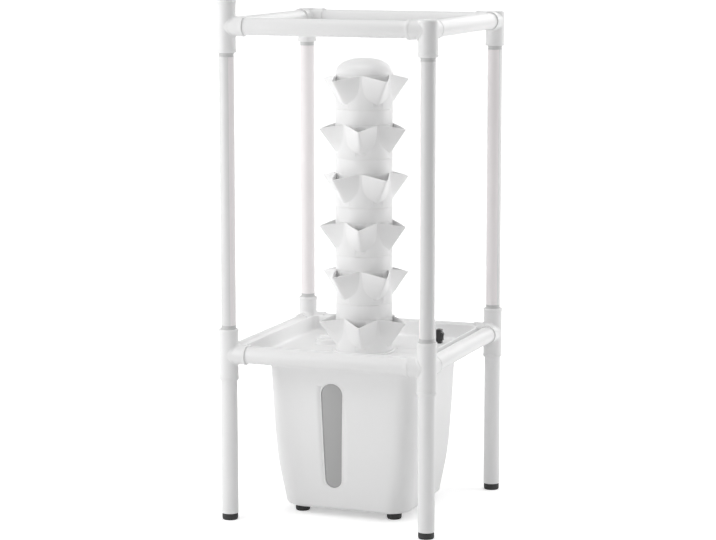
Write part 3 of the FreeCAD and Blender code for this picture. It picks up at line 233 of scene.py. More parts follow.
def rounded_rectangle(half_x, half_y, corner, arc=10, side=8):
    """One turn of a rectangle with round corners, anticlockwise. Every ring has the same number of points, so that
    rings of different sizes stack into a grid. The inputs may be columns of numbers, one row per ring."""
    half_x, half_y, corner = (np.atleast_1d(np.array(part, float))[:, None] for part in (half_x, half_y, corner))
    arcs = []
    for quarter, (sx, sy) in enumerate(((1, 1), (-1, 1), (-1, -1), (1, -1))):
        angle = (quarter + np.linspace(0, 1, arc + 1)) * math.pi / 2
        x = sx * (half_x - corner) + corner * np.cos(angle)
        y = sy * (half_y - corner) + corner * np.sin(angle)
        arcs.append(np.stack([x, y], -1))
    full = []
    t = np.linspace(0, 1, side + 1)[1:-1, None]
    for here, there in zip(arcs, arcs[1:] + arcs[:1]):
        full += [here, here[:, -1:] * (1 - t) + there[:, :1] * t]
    return np.concatenate(full, 1)


def stack(rings, heights):
    """Flat rings at their heights, as rows of a grid."""
    heights = np.array(heights, float)[:, None, None]
    return np.concatenate([rings, np.broadcast_to(heights, rings.shape[:2] + (1,))], -1)


def rounded_block(half_x, half_y, low, high, corner, edge, centre=(0, 0), steps=4):
    """A block with round upright corners and rounded top and bottom edges. A ring at the angle a of an edge is drawn
    in by edge (1 - cos a) and lies edge (1 - sin a) inside the block's end."""
    a = np.linspace(math.pi / 2, 0, steps + 1)
    draw_in = edge * (1 - np.cos(a))
    depth = edge * (1 - np.sin(a))
    inset = np.concatenate([[0], draw_in, draw_in[::-1], [0]])
    height = np.concatenate([[low], low + depth, high - depth[::-1], [high]])
    wide, deep = half_x - inset, half_y - inset
    wide[[0, -1]] = deep[[0, -1]] = 0
    radius = np.minimum(np.maximum(corner - inset, corner * 0.2), np.minimum(wide, deep))
    return stack(rounded_rectangle(wide, deep, radius, arc=6, side=3), height) + (*centre, 0)


# Meshes

def quads(rows, columns, wrap_rows, wrap_columns):
    """Corner numbers of the faces between neighbouring rows and columns of a grid."""
    row = np.arange(rows if wrap_rows else rows - 1)
    column = np.arange(columns if wrap_columns else columns - 1)
    row, column = (part.ravel() for part in np.meshgrid(row, column, indexing="ij"))
    next_row = (row + 1) % rows
    next_column = (column + 1) % columns
    return np.stack([row * columns + column, row * columns + next_column,
                     next_row * columns + next_column, next_row * columns + column], -1)


def make_piece(name, grids, nodes=(), slot=None, body=ROOT, material=None, sharp=35, loop=False, open_columns=False):
    """One piece from grids of points. Rows close on themselves where loop is true, and columns unless they are
    open. Points that coincide, as at a pole, become one, and faces are turned outwards."""
    starts = np.cumsum([0] + [grid.shape[0] * grid.shape[1] for grid in grids])
    points = np.concatenate([grid.reshape(-1, 3) for grid in grids])
    faces = np.concatenate([quads(grid.shape[0], grid.shape[1], loop, not open_columns) + start
                            for grid, start in zip(grids, starts)])
    mesh = bpy.data.meshes.new(name)
    mesh.vertices.add(len(points))
    mesh.vertices.foreach_set("co", points.astype(np.float32).ravel())
    mesh.loops.add(faces.size)
    mesh.loops.foreach_set("vertex_index", faces.astype(np.int32).ravel())
    mesh.polygons.add(len(faces))
    mesh.polygons.foreach_set("loop_start", np.arange(0, faces.size, 4, dtype=np.int32))
    mesh.update(calc_edges=True)
    mesh.validate()
    shell = bmesh.new()
    shell.from_mesh(mesh)
    bmesh.ops.remove_doubles(shell, verts=shell.verts, dist=1e-7)
    bmesh.ops.dissolve_degenerate(shell, edges=shell.edges, dist=1e-8)
    bmesh.ops.recalc_face_normals(shell, faces=shell.faces)
    shell.to_mesh(mesh)
    shell.free()
    mesh.shade_smooth()
    mesh.set_sharp_from_angle(angle=math.radians(sharp))
    piece = bpy.data.objects.new(name, mesh)
    bpy.context.scene.collection.objects.link(piece)
    mesh.materials.append(material or finish(slot))
    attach(piece, body)
    if slot:
        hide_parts(*nodes)
    return piece


def cut_out(piece, grids):
    """Takes closed shapes out of a piece, and leaves no modifier behind."""
    cutter = make_piece(piece.name + "_cutter", grids, material=piece.data.materials[0])
    tool = piece.modifiers.new("cut", "BOOLEAN")
    tool.operation = "DIFFERENCE"
    tool.solver = "EXACT"
    tool.object = cutter
    graph = bpy.context.evaluated_depsgraph_get()
    graph.update()
    result = bpy.data.meshes.new_from_object(piece.evaluated_get(graph), depsgraph=graph)
    piece.modifiers.clear()
    old = piece.data
    piece.data = result
    bpy.data.meshes.remove(old)
    bpy.data.objects.remove(cutter)


# Materials

def feed(tree, node, values):
    """Gives the inputs of a node, by name or number, a link where the value is a socket, and else the value."""
    for key, value in values.items():
        if isinstance(value, NodeSocket):
            tree.links.new(value, node.inputs[key])
        else:
            node.inputs[key].default_value = value


def add_node(tree, kind, values=None, **settings):
    node = tree.nodes.new(f"ShaderNode{kind}")
    for name, setting in settings.items():
        setattr(node, name, setting)
    feed(tree, node, values or {})
    return node


def object_place(tree):
    return add_node(tree, "TexCoord").outputs["Object"]


def noise(tree, place, scale, detail=4):
    return add_node(tree, "TexNoise", {"Vector": place, "Scale": scale, "Detail": detail}).outputs["Fac"]


def calculate(tree, operation, *values):
    return add_node(tree, "Math", dict(enumerate(values)), operation=operation).outputs[0]


def blend(tree, share, first, second):
    return add_node(tree, "Mix", {"Factor": share, "A": first, "B": second}, data_type="RGBA").outputs["Result"]


def node_group(name, inputs, outputs):
    """An empty shader group with named sockets, (kind, default) for an input: its tree, inputs and last node."""
    group = bpy.data.node_groups.new(name, "ShaderNodeTree")
    for socket, (kind, default) in inputs.items():
        item = group.interface.new_socket(socket, in_out="INPUT", socket_type=f"NodeSocket{kind}")
        item.default_value = default
    for socket, kind in outputs.items():
        group.interface.new_socket(socket, in_out="OUTPUT", socket_type=f"NodeSocket{kind}")
    return group, group.nodes.new("NodeGroupInput").outputs, group.nodes.new("NodeGroupOutput")


@cache
def grain_group():
    """Spark-eroded mould grain: fine cells over soft waves, as a height."""
    group, given, result = node_group(
        "Moulded grain", {"Grain Scale": ("Float", 900), "Wave Scale": ("Float", 14), "Wave Share": ("Float", 0.5)},
        {"Height": "Float"})
    place = object_place(group)
    cells = add_node(group, "TexVoronoi", {"Vector": place, "Scale": given["Grain Scale"]}, feature="SMOOTH_F1")
    waves = noise(group, place, given["Wave Scale"], detail=2)
    share = calculate(group, "MULTIPLY", waves, given["Wave Share"])
    feed(group, result, {"Height": calculate(group, "ADD", cells.outputs["Distance"], share)})
    return group


@cache
def tone_group():
    """Slow drift of a moulded colour, and fine drift of its gloss."""
    group, given, result = node_group(
        "Drifting tone",
        {"Colour": ("Color", (0.8, 0.8, 0.8, 1)), "Shade": ("Color", (0.7, 0.7, 0.7, 1)),
         "Drift Scale": ("Float", 6), "Roughness": ("Float", 0.4), "Roughness Drift": ("Float", 0.1)},
        {"Colour": "Color", "Roughness": "Float"})
    place = object_place(group)
    slow = noise(group, place, given["Drift Scale"], detail=3)
    fine = calculate(group, "SUBTRACT", noise(group, place, 60, detail=5), 0.5)
    drift = calculate(group, "MULTIPLY", fine, given["Roughness Drift"])
    feed(group, result, {"Colour": blend(group, slow, given["Colour"], given["Shade"]),
                         "Roughness": calculate(group, "ADD", given["Roughness"], drift)})
    return group


@cache
def wear_group():
    """Rubbed edges: where the surface turns sharply outwards, broken up by noise."""
    group, given, result = node_group(
        "Rubbed edges", {"Colour": ("Color", (0.8, 0.8, 0.8, 1)), "Worn Colour": ("Color", (1, 1, 1, 1)),
                         "Amount": ("Float", 0.4)}, {"Colour": "Color"})
    turn = add_node(group, "NewGeometry").outputs["Pointiness"]
    edge = add_node(group, "MapRange", {"Value": turn, "From Min": 0.53, "From Max": 0.62})
    broken = calculate(group, "MULTIPLY", edge.outputs["Result"], noise(group, object_place(group), 180))
    share = calculate(group, "MULTIPLY", broken, given["Amount"])
    feed(group, result, {"Colour": blend(group, share, given["Colour"], given["Worn Colour"])})
    return group


def moulded(name, base, shade=0.96, roughness=0.42, drift=6, grain=900, depth=0.00002, worn=1.06, wear=0.35, coat=0.0):
    """A moulded or extruded plastic: drifting tone, mould grain and rubbed edges on one shader."""
    material = bpy.data.materials.new(name)
    material.use_nodes = True
    tree = material.node_tree
    shaded = (*(part * shade for part in base), 1)
    rubbed = (*(min(1, part * worn) for part in base), 1)
    tone = add_node(tree, "Group", {"Colour": (*base, 1), "Shade": shaded, "Drift Scale": drift,
                                    "Roughness": roughness}, node_tree=tone_group())
    edges = add_node(tree, "Group", {"Colour": tone.outputs["Colour"], "Worn Colour": rubbed, "Amount": wear},
                     node_tree=wear_group())
    relief = add_node(tree, "Group", {"Grain Scale": grain}, node_tree=grain_group())
    bump = add_node(tree, "Bump", {"Distance": depth, "Strength": 0.6, "Height": relief.outputs["Height"]})
    feed(tree, tree.nodes["Principled BSDF"], {
        "Base Color": edges.outputs["Colour"], "Roughness": tone.outputs["Roughness"],
        "Normal": bump.outputs["Normal"], "Coat Weight": coat, "Coat Roughness": 0.2})
    return material


def draw_lines(tree, shader):
    """Fine lines along an extrusion, over its grain."""
    place = add_node(tree, "Mapping", {"Vector": object_place(tree), "Scale": (900, 900, 4)})
    lines = noise(tree, place.outputs["Vector"], 1.0, detail=2)
    grain = shader.inputs["Normal"].links[0].from_socket
    bump = add_node(tree, "Bump", {"Distance": 0.00001, "Strength": 0.5, "Height": lines, "Normal": grain})
    feed(tree, shader, {"Normal": bump.outputs["Normal"], "Specular IOR Level": 0.6})


def let_light_in(tree, shader):
    """A frosted surface, under which the light spreads a little."""
    feed(tree, shader, {"Subsurface Weight": 0.15, "Subsurface Radius": (1, 1, 1), "Subsurface Scale": 0.002})


# For each material slot: the finish's name, its colour setting, what differs from plain plastic, and what is added
FINISHES = {
    "frame_white": ("Frame plastic", "frame_white", {"roughness": 0.44, "drift": 5, "grain": 1400, "coat": 0.05}),
    "tank_white": ("Tank plastic", "tank_white", {"roughness": 0.45, "drift": 4, "grain": 700, "depth": 0.00004}),
    "tray_white": ("Tray plastic", "tray_white", {"shade": 0.98, "roughness": 0.55, "drift": 5, "grain": 800}),
    "tower_white": ("Tower plastic", "tower_white", {"roughness": 0.4, "drift": 8, "grain": 1000}),
    "lamp_grey": ("Lamp housing", "housing_grey", {"shade": 0.93, "roughness": 0.38, "drift": 9, "grain": 1600,
                                                   "depth": 0.00001, "wear": 0.2}, draw_lines),
    "lamp_frost": ("Lamp diffuser", "diffuser_rose", {"shade": 0.98, "roughness": 0.5, "drift": 4, "grain": 2200,
                                                      "depth": 0.00001, "wear": 0.1}, let_light_in),
    "window_grey": ("Level window", "window_grey", {"shade": 0.94, "roughness": 0.22, "drift": 7, "grain": 500,
                                                    "depth": 0.00001, "wear": 0.1, "coat": 0.4}),
    "cap_dark": ("Lamp end cap", "cap_grey", {"roughness": 0.45, "drift": 20, "grain": 1200}),
    "foot_black": ("Black rubber", "black", {"shade": 1.6, "roughness": 0.6, "drift": 30, "grain": 1300,
                                             "depth": 0.00005, "worn": 6, "wear": 0.5}),
    "switch_black": ("Black switch plastic", "black", {"shade": 1.3, "roughness": 0.3, "drift": 40, "grain": 1800,
                                                       "worn": 5, "wear": 0.3, "coat": 0.3}),
    "board_white": ("LED board", "board_white", {"roughness": 0.35, "drift": 30, "grain": 2000}),
}


@cache
def finish(slot):
    """A slot's material, made once from the user's colours."""
    name, setting, traits, *additions = FINISHES[slot]
    material = moulded(name, getattr(bpy.context.scene.planter_colours, setting), **traits)
    for addition in additions:
        addition(material.node_tree, material.node_tree.nodes["Principled BSDF"])
    return material


def dress(nodes, slot):
    """Gives CAD nodes that keep their shape a finish."""
    for node in nodes:
        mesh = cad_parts[node].data
        mesh.materials.clear()
        mesh.materials.append(finish(slot))


# Frame

def mouth(sizes, radius, end, stop):
    """Corners of a socket's end, from its outside over the bead at its mouth and down its bore to the stop."""
    lip = end - math.copysign(sizes.bead_width, end)
    rim, bore = radius + sizes.bead_rise, sizes.socket_bore
    return [(radius, lip, 0.0012), (rim, lip, 0.0006), (rim, end, 0.0012), (bore, end, 0.0006), (bore, stop, 0.0003)]


def fit_fillet(grid, centre, axis, own_radius, others, fillet, fade=0.002):
    """Swells a socket where it meets others, as a moulded fillet. A point at the gap g outside another cylinder moves
    out from its own axis by fillet (1 - g / fillet)^2 (1 - n^2), where n is the cosine between the two surfaces, and
    inside the other the swelling fades. The others are (axis, radius, whether it runs both ways), and a socket that
    runs one way only swells this on its side."""
    centre, axis = np.array(centre), np.array(axis, float)
    offset = grid - centre
    outward = offset - (offset @ axis)[..., None] * axis
    radius = np.linalg.norm(outward, axis=-1)
    outward = outward / np.maximum(radius, 1e-6)[..., None]
    swell = np.zeros(radius.shape)
    for other_axis, other_radius, both_ways in others:
        other_axis = np.array(other_axis, float)
        across = offset - (offset @ other_axis)[..., None] * other_axis
        reach = np.linalg.norm(across, axis=-1)
        gap = reach - other_radius
        facing = np.sum(outward * across, axis=-1) / np.maximum(reach, 1e-6)
        near = np.clip(1 - np.clip(gap, 0, None) / fillet, 0, 1) ** 2 * np.clip(1 + gap / fade, 0, 1)
        side = 1 if both_ways else np.clip((offset @ other_axis) / fillet, 0, 1)
        swell += fillet * near * (1 - facing ** 2) * side
    outside = radius > own_radius * 0.98
    return grid + outward * (swell * outside)[..., None]


def fitting_grids(sizes, side, height, upward, ledge=0.004):
    """An upright body with a socket for each rail, filleted where they meet. Its top is a socket or a closed crown."""
    centre = (*POSTS[side], height)
    radius, rail_radius, stop = sizes.socket_radius, sizes.rail_socket_radius, sizes.stop_reach
    foot = mouth(sizes, radius, -POST_REACH, -stop)[::-1]
    if upward:
        inner = sizes.socket_bore - ledge
        corners = [*foot, *mouth(sizes, radius, POST_REACH, stop), (inner, stop, 0.0003), (inner, -stop, 0.0003)]
        profile = soften(corners)
    else:
        corners = [(0, -stop, 0), *foot, (radius, sizes.crown, sizes.crown_round), (0, sizes.crown, 0)]
        profile = soften(corners, steps=6, closed=False)
    upright = lathe(refine(profile, 0.0015, closed=upward), centre)
    corners = [(0, 0, 0), (rail_radius, 0, 0), *mouth(sizes, rail_radius, sizes.rail_reach, stop), (0, stop, 0)]
    outline = refine(soften(corners, closed=False)[1:], 0.0012)
    to_rails = [(-SIDES[side][0], 0, 0), (0, -SIDES[side][1], 0)]
    runs = []
    for way, other in (to_rails, to_rails[::-1]):
        others = [((0, 0, -1), radius, upward), (other, rail_radius, False)]
        runs.append(fit_fillet(lathe(outline, centre, way), centre, way, rail_radius, others, sizes.fillet))
    return upright, runs


class PLANTER_OT_fittings(Operator):
    """The eight corner fittings of the frame, with beads at their mouths and fillets between their sockets"""
    bl_idname = "planter.fittings"
    bl_label = "Corner Fittings"

    def execute(self, context):
        closed_most = 1.9 * POST_REACH
        for level, height in (("deck", DECK_AXIS), ("top", RING_AXIS)):
            for side in SIDES:
                node = f"{level}_corner_{side}"
                upward = level == "deck" or extent(node).z > closed_most
                upright, runs = fitting_grids(context.scene.planter_frame, side, height, upward)
                make_piece(f"fitting_{level}_{side}", [upright], [node], "frame_white", loop=upward)
                make_piece(f"rail_sockets_{level}_{side}", runs, [node], "frame_white")
        return {"FINISHED"}


class PLANTER_OT_pipes(Operator):
    """The legs and rails, the plug of the upward socket and the black leg feet"""
    bl_idname = "planter.pipes"
    bl_label = "Pipes and Feet"

    def execute(self, context):
        legs = {f"leg_{side}" for side in SIDES}
        dress([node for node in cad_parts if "_rail_" in node or node in legs], "frame_white")
        self.feet()
        self.plug()
        return {"FINISHED"}

    @staticmethod
    def feet():
        """Black inserts with a hollow under them and a groove where they meet the pipe."""
        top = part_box("leg_feet")[1]
        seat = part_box("leg_front_left")[0].z
        outer, spigot = top.x - POSTS["front_right"].x, PIPE_RADIUS - 0.0026
        hollow, groove = 0.0008, 0.0005
        corners = [(0, hollow, 0), (outer * 0.5, hollow, 0.0003), (outer * 0.54, 0, 0.0003),
                   (outer - 0.0012, 0, 0.0012), (outer, 0.004, 0.0012), (outer, seat - 0.003, 0.0003),
                   (outer - groove, seat - 0.0024, 0.0002), (outer - groove, seat, 0.0002), (spigot, seat, 0.0002),
                   (spigot, top.z, 0.001), (0, top.z, 0)]
        make_piece("leg_caps", [turned(corners, (*POSTS[side], 0)) for side in SIDES], ["leg_feet"], "foot_black")

    @staticmethod
    def plug():
        """A flanged plug with a gland for a lead."""
        low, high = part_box("socket_plug")
        rest = RING_AXIS + POST_REACH
        bore, gland, flange = 0.003, 0.007, rest + 0.003
        radius, spigot = (high.x - low.x) / 2, PIPE_RADIUS
        corners = [(bore, low.z, 0.0003), (spigot, low.z, 0.001), (spigot, rest, 0.0003), (radius, rest, 0.0005),
                   (radius, flange, 0.0015), (gland + 0.001, flange, 0.0008), (gland, flange + 0.002, 0.0005),
                   (gland, high.z - 0.002, 0.0005), (gland - 0.0015, high.z, 0.0005), (bore, high.z, 0.0003)]
        make_piece("lead_plug", [turned(corners, (*POSTS["front_left"], 0), closed=True)], ["socket_plug"],
                   "frame_white", loop=True)


class PLANTER_OT_lamps(Operator):
    """The four tube lamps that serve as the upper posts: housings, diffusers, LED boards and end caps"""
    bl_idname = "planter.lamps"
    bl_label = "Tube Lamps"

    def execute(self, context):
        sizes = context.scene.planter_frame
        for part, slot in (("housing", "lamp_grey"), ("diffuser", "lamp_frost"), ("board", "board_white")):
            dress([f"lamp_{part}_{side}" for side in SIDES], slot)
        radius, plug = sizes.lamp_radius, sizes.lamp_plug
        groove = radius - 0.0006
        sockets = DECK_AXIS + POST_REACH, RING_AXIS - POST_REACH - 0.0006
        for side in SIDES:
            low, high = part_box(f"lamp_caps_{side}")
            grids = []
            for end, rest, face in zip((low.z, high.z), sockets, (LAMP_LOW, LAMP_HIGH)):
                third = (face - rest) / 3
                corners = [(0, end, 0), (plug, end, 0.001), (plug, rest, 0.0003), (radius, rest, 0.0006),
                           (radius, rest + third, 0.0004), (groove, rest + 1.15 * third, 0.0002),
                           (groove, face - 1.15 * third, 0.0002), (radius, face - third, 0.0004),
                           (radius, face, 0.0004), (0, face, 0)]
                grids.append(turned(corners, (*POSTS[side], 0), steps=3))
            make_piece(f"lamp_ends_{side}", grids, [f"lamp_caps_{side}"], "cap_dark", f"lamp_{side}")
        return {"FINISHED"}


# Tank

TANK_STATIONS = {
    "height": (0.028, 0.120, 0.210, 0.378),
    "half_x": (0.161, 0.175, 0.1815, 0.189),
    "half_y": (0.153, 0.161, 0.1665, 0.173),
    "corner": (0.058, 0.051, 0.048, 0.045),
}
TANK_OUTLINE = ("half_x", "half_y", "corner")


def tank_ring(height, part):
    """A size of the tank's outside at a height, on a smooth curve through its stations."""
    return smooth_curve(np.asarray(height, float), TANK_STATIONS["height"], TANK_STATIONS[part])


def tank_grid(sizes):
    """Rings, as (inset, height), from the floor's middle, up the inside, over the rim and down the outside to the
    middle below."""
    wall, edge, reach = sizes.wall, sizes.edge_round, sizes.rim_width
    rim_low, rim_edge = TANK_HIGH - sizes.rim_height, 0.0008
    rise = np.linspace(TANK_LOW + edge, TANK_HIGH, 40)
    floor_insets = (0.150, 0.120, 0.080, 0.04)

    def bottom_edge(radius, inset):
        return [(radius * (1 - np.sin(a)) + inset, TANK_LOW + inset + radius * (1 - np.cos(a)))
                for a in np.linspace(0, math.pi / 2, 7)]

    rows = [(inset, TANK_LOW + wall) for inset in floor_insets] + bottom_edge(edge - wall, wall)
    rows += [(wall, height) for height in rise[1:]]
    rows += [(-reach + rim_edge, TANK_HIGH), (-reach, TANK_HIGH - rim_edge), (-reach, rim_low + rim_edge),
             (-reach + rim_edge, rim_low)]
    rows += [(0, height) for height in rise[::-1] if height < rim_low]
    rows += bottom_edge(edge, 0)[::-1][1:] + [(inset, TANK_LOW) for inset in floor_insets[::-1]]
    inset, height = np.array(rows).T
    at = np.clip(height, TANK_LOW + edge, TANK_HIGH)
    half_x, half_y, corner = (tank_ring(at, part) - inset for part in TANK_OUTLINE)
    half_y = np.maximum(half_y, 0.002)
    corner = np.minimum(np.maximum(corner, 0.001), np.minimum(half_x, half_y))
    grid = stack(rounded_rectangle(half_x, half_y, corner, arc=12, side=14), height)
    first, last = grid[:1] * (0, 0, 1), grid[-1:] * (0, 0, 1)
    return np.concatenate([first, grid, last])


def window_outline(count=24, taper=0.76):
    """The window's outline in x and z: a half circle at each end, joined by straight sides that part upwards."""
    low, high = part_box("level_window")
    centre = (high.x + low.x) / 2
    top = (high.x - low.x) / 2
    bottom = top * taper
    up = np.linspace(0, math.pi, count)
    arc_top = np.stack([centre + top * np.cos(up), high.z - top + top * np.sin(up)], -1)
    arc_low = np.stack([centre - bottom * np.cos(up), low.z + bottom - bottom * np.sin(up)], -1)
    return refine(np.concatenate([arc_top, arc_low]), 0.006, closed=True)


def grown(outline, distance):
    """A closed outline moved outwards along its normals."""
    along = np.roll(outline, -1, 0) - np.roll(outline, 1, 0)
    normal = np.stack([along[:, 1], -along[:, 0]], -1)
    return outline + normal / np.linalg.norm(normal, axis=1)[:, None] * distance


def on_wall(outline, out):
    """An outline in x and z laid on the tank's front wall, a distance out of it."""
    x, z = outline.T
    return np.stack([x, -tank_ring(z, "half_y") - out, z], -1)


class PLANTER_OT_tank(Operator):
    """The tank with its rim, the level window with its raised band, and the tank's feet"""
    bl_idname = "planter.tank"
    bl_label = "Water Tank"

    def execute(self, context):
        sizes = context.scene.planter_tank
        tank = make_piece("tank", [tank_grid(sizes)], ["tank_shell"], "tank_white")
        outline = window_outline()

        def middle_line(points):
            return np.stack([np.full(len(points), outline[:, 0].mean()), points[:, 1]], -1)

        flat = middle_line(outline)
        cut_out(tank, [np.array([on_wall(flat, 0.004), on_wall(outline, 0.004), on_wall(outline, -0.012),
                                 on_wall(flat, -0.012)])])

        flat = middle_line(grown(outline, -0.004))
        face, back = -0.0006, -0.003
        rim = ((0.0022, face), (0.0009, -0.0009), (0.0002, -0.0016), (0.0002, back))
        rows = [on_wall(flat, face), *(on_wall(grown(outline, -inset), out) for inset, out in rim), on_wall(flat, back)]
        make_piece("level_pane", [np.array(rows)], ["level_window"], "window_grey")

        half, rise = sizes.bezel_width / 2, sizes.bezel_rise
        band = [on_wall(grown(outline, half - half * np.cos(a)), rise * np.sin(a)) for a in np.linspace(0, math.pi, 9)]
        band += [on_wall(grown(outline, width), -0.001) for width in (sizes.bezel_width, 0)]
        make_piece("window_band", [np.array(band)], ["level_window"], "tank_white", loop=True)

        top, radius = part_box("tank_feet")[1], 0.018
        corners = [(0, 0.001, 0), (radius * 0.55, 0.001, 0.0003), (radius * 0.6, 0, 0.0003), (radius * 0.9, 0, 0.001),
                   (radius, 0.004, 0.0015), (radius, 0.013, 0.001), (radius * 0.94, top.z, 0.0005), (0, top.z, 0)]
        make_piece("tank_pads", [turned(corners, (sign_x * (top.x - radius), sign_y * (top.y - radius), 0), columns=72)
                                 for sign_x, sign_y in SIDES.values()], ["tank_feet"], "foot_black")
        return {"FINISHED"}


# Deck tray

LUG = 0.0053
COLLAR_HOLE = 0.0364
RIB_START, RIB_END = 0.092, 0.194
DRAIN_CIRCLE, DRAIN_RADIUS, DRAINS = 0.084, 0.003, 10


def tray_grid(sizes, cove=0.006):
    """The tray from the collar's hole outwards: floor with radial ribs, wall, rounded rim, outer wall, underside."""
    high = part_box("deck_tray")[1]
    floor, top, under, wall = TRAY_TOP, high.z, TANK_HIGH, sizes.tray_wall
    inner_x, inner_y, inner_corner = high.x - LUG - wall, high.y - LUG - wall, sizes.tray_corner - wall

    def ring(out, corner_out, height):
        flat = rounded_rectangle(inner_x + out, inner_y + out, inner_corner + corner_out, arc=24, side=52)
        return stack(flat, [height])

    edge_ring = ring(-cove, -cove / 2, floor)[..., :2]
    around = np.arctan2(edge_ring[0, :, 1], edge_ring[0, :, 0])
    circle = np.stack([np.cos(around), np.sin(around)], -1) * COLLAR_HOLE

    def plate(share, heights):
        share = share[:, None, None]
        flat = circle[None] * (1 - share) + edge_ring * share
        return np.concatenate([flat, np.broadcast_to(heights(flat), flat.shape[:2])[..., None]], -1)

    def ribbed(flat):
        reach = np.linalg.norm(flat, axis=-1)
        spacing = TURN / sizes.rib_count
        off_rib = (np.arctan2(flat[..., 1], flat[..., 0]) + spacing / 2) % spacing - spacing / 2
        ridge = np.clip((sizes.rib_width / 2 + 0.0008 - np.abs(off_rib) * reach) / 0.0016, 0, 1)
        along = np.clip((reach - RIB_START) / 0.002, 0, 1) * np.clip((RIB_END - reach) / 0.002, 0, 1)
        return floor + sizes.rib_rise * ridge ** 2 * (3 - 2 * ridge) * along

    share = np.linspace(0, 1, 44)
    grid = [plate(share, ribbed)]
    for a in np.linspace(0, math.pi / 2, 6)[1:]:
        out = -cove * (1 - math.sin(a))
        grid.append(ring(out, out / 2, floor + cove * (1 - math.cos(a))))
    for up in np.linspace(0.35, 1, 4):
        grid.append(ring(0, 0, floor + cove + (top - wall / 2 - floor - cove) * up))
    for a in np.linspace(0, math.pi, 9)[1:]:
        out = wall / 2 * (1 - math.cos(a))
        grid.append(ring(out, out, top - wall / 2 + wall / 2 * math.sin(a)))
    for rise, draw_in in ((0.02, 0), (0.002, 0), (0, 0.0012)):
        grid.append(ring(wall - draw_in, wall, under + rise))
    grid.append(plate(share[::-6], lambda flat: under))
    return np.concatenate(grid)


class PLANTER_OT_tray(Operator):
    """The deck tray with its ribs, drains and filler neck, and the filler's lid"""
    bl_idname = "planter.tray"
    bl_label = "Deck Tray"

    def execute(self, context):
        tray = make_piece("tray", [tray_grid(context.scene.planter_tank)], ["deck_tray"], "tray_white", loop=True)
        low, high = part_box("filler_cap")
        spot = ((low.x + high.x) / 2, (low.y + high.y) / 2)
        neck, rest = (high.x - low.x) / 2, TRAY_TOP + 0.008
        bore, bottom, foot = neck - 0.003, TANK_HIGH + 0.0003, 0.0015
        past = 0.003
        cut_out(tray, [rod(bore, TANK_HIGH - past, TRAY_TOP + past, (*spot, 0))])
        cut_out(tray, [rod(DRAIN_RADIUS, TANK_HIGH - past, TRAY_TOP + past,
                           (DRAIN_CIRCLE * math.cos(a), DRAIN_CIRCLE * math.sin(a), 0), columns=24)
                       for a in np.arange(DRAINS) * TURN / DRAINS])
        corners = [(bore, bottom), (bore, rest), (neck, rest), (neck, TRAY_TOP + foot), (neck + foot, TRAY_TOP),
                   (neck + foot, bottom)]
        neck_grid = turned([(*corner, 0.0006) for corner in corners], (*spot, 0), closed=True)
        make_piece("filler_neck", [neck_grid], ["deck_tray"], "tray_white", loop=True)
        skirt = []
        for inset, drop in ((0.0042, 0.012), (0.0042, 0), (0.0072, 0), (0.0072, 0.012)):
            half_x, half_y, corner = (TANK_STATIONS[part][-1] - inset for part in TANK_OUTLINE)
            skirt.append(stack(rounded_rectangle(half_x, half_y, corner), [TANK_HIGH - drop])[0])
        make_piece("tray_skirt", [np.array(skirt)], ["deck_tray"], "tray_white", loop=True)
        self.lugs()
        self.lid(spot, neck, bore, rest, high.z)
        return {"FINISHED"}

    @staticmethod
    def lugs():
        """Lugs that hold the tray between the deck rails."""
        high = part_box("deck_tray")[1]
        thin, wide, half_height = 0.0034, 0.012, 0.006
        grids = []
        for along in (-0.11, 0.11):
            for sign in (-1, 1):
                for half_x, half_y, x, y in ((thin, wide, sign * (high.x - thin), along),
                                             (wide, thin, along, sign * (high.y - thin))):
                    grids.append(rounded_block(half_x, half_y, DECK_AXIS - half_height, DECK_AXIS + half_height,
                                               0.001, 0.0008, (x, y)))
        make_piece("tray_lugs", grids, ["deck_tray"], "tray_white")

    @staticmethod
    def lid(spot, neck, bore, rest, top):
        """The filler's lid: a disc that plugs the neck, with a grip bar."""
        plate, stop = rest + 0.003, bore - 0.0005
        dish = plate - 0.0008
        corners = [(0, TRAY_TOP, 0), (stop, TRAY_TOP, 0.001), (stop, rest, 0.0003), (neck, rest, 0.0004),
                   (neck, plate, 0.001), (neck - 0.004, plate, 0.0006), (neck - 0.006, dish, 0.0006), (0, dish, 0)]
        grip = rounded_block(bore - 0.004, 0.0035, plate - 0.002, top, 0.003, 0.0015, spot)
        make_piece("filler_lid_disc", [turned(corners, (*spot, 0), columns=120), grip], ["filler_cap"], "tray_white",
                   "filler_lid")


# Switch box

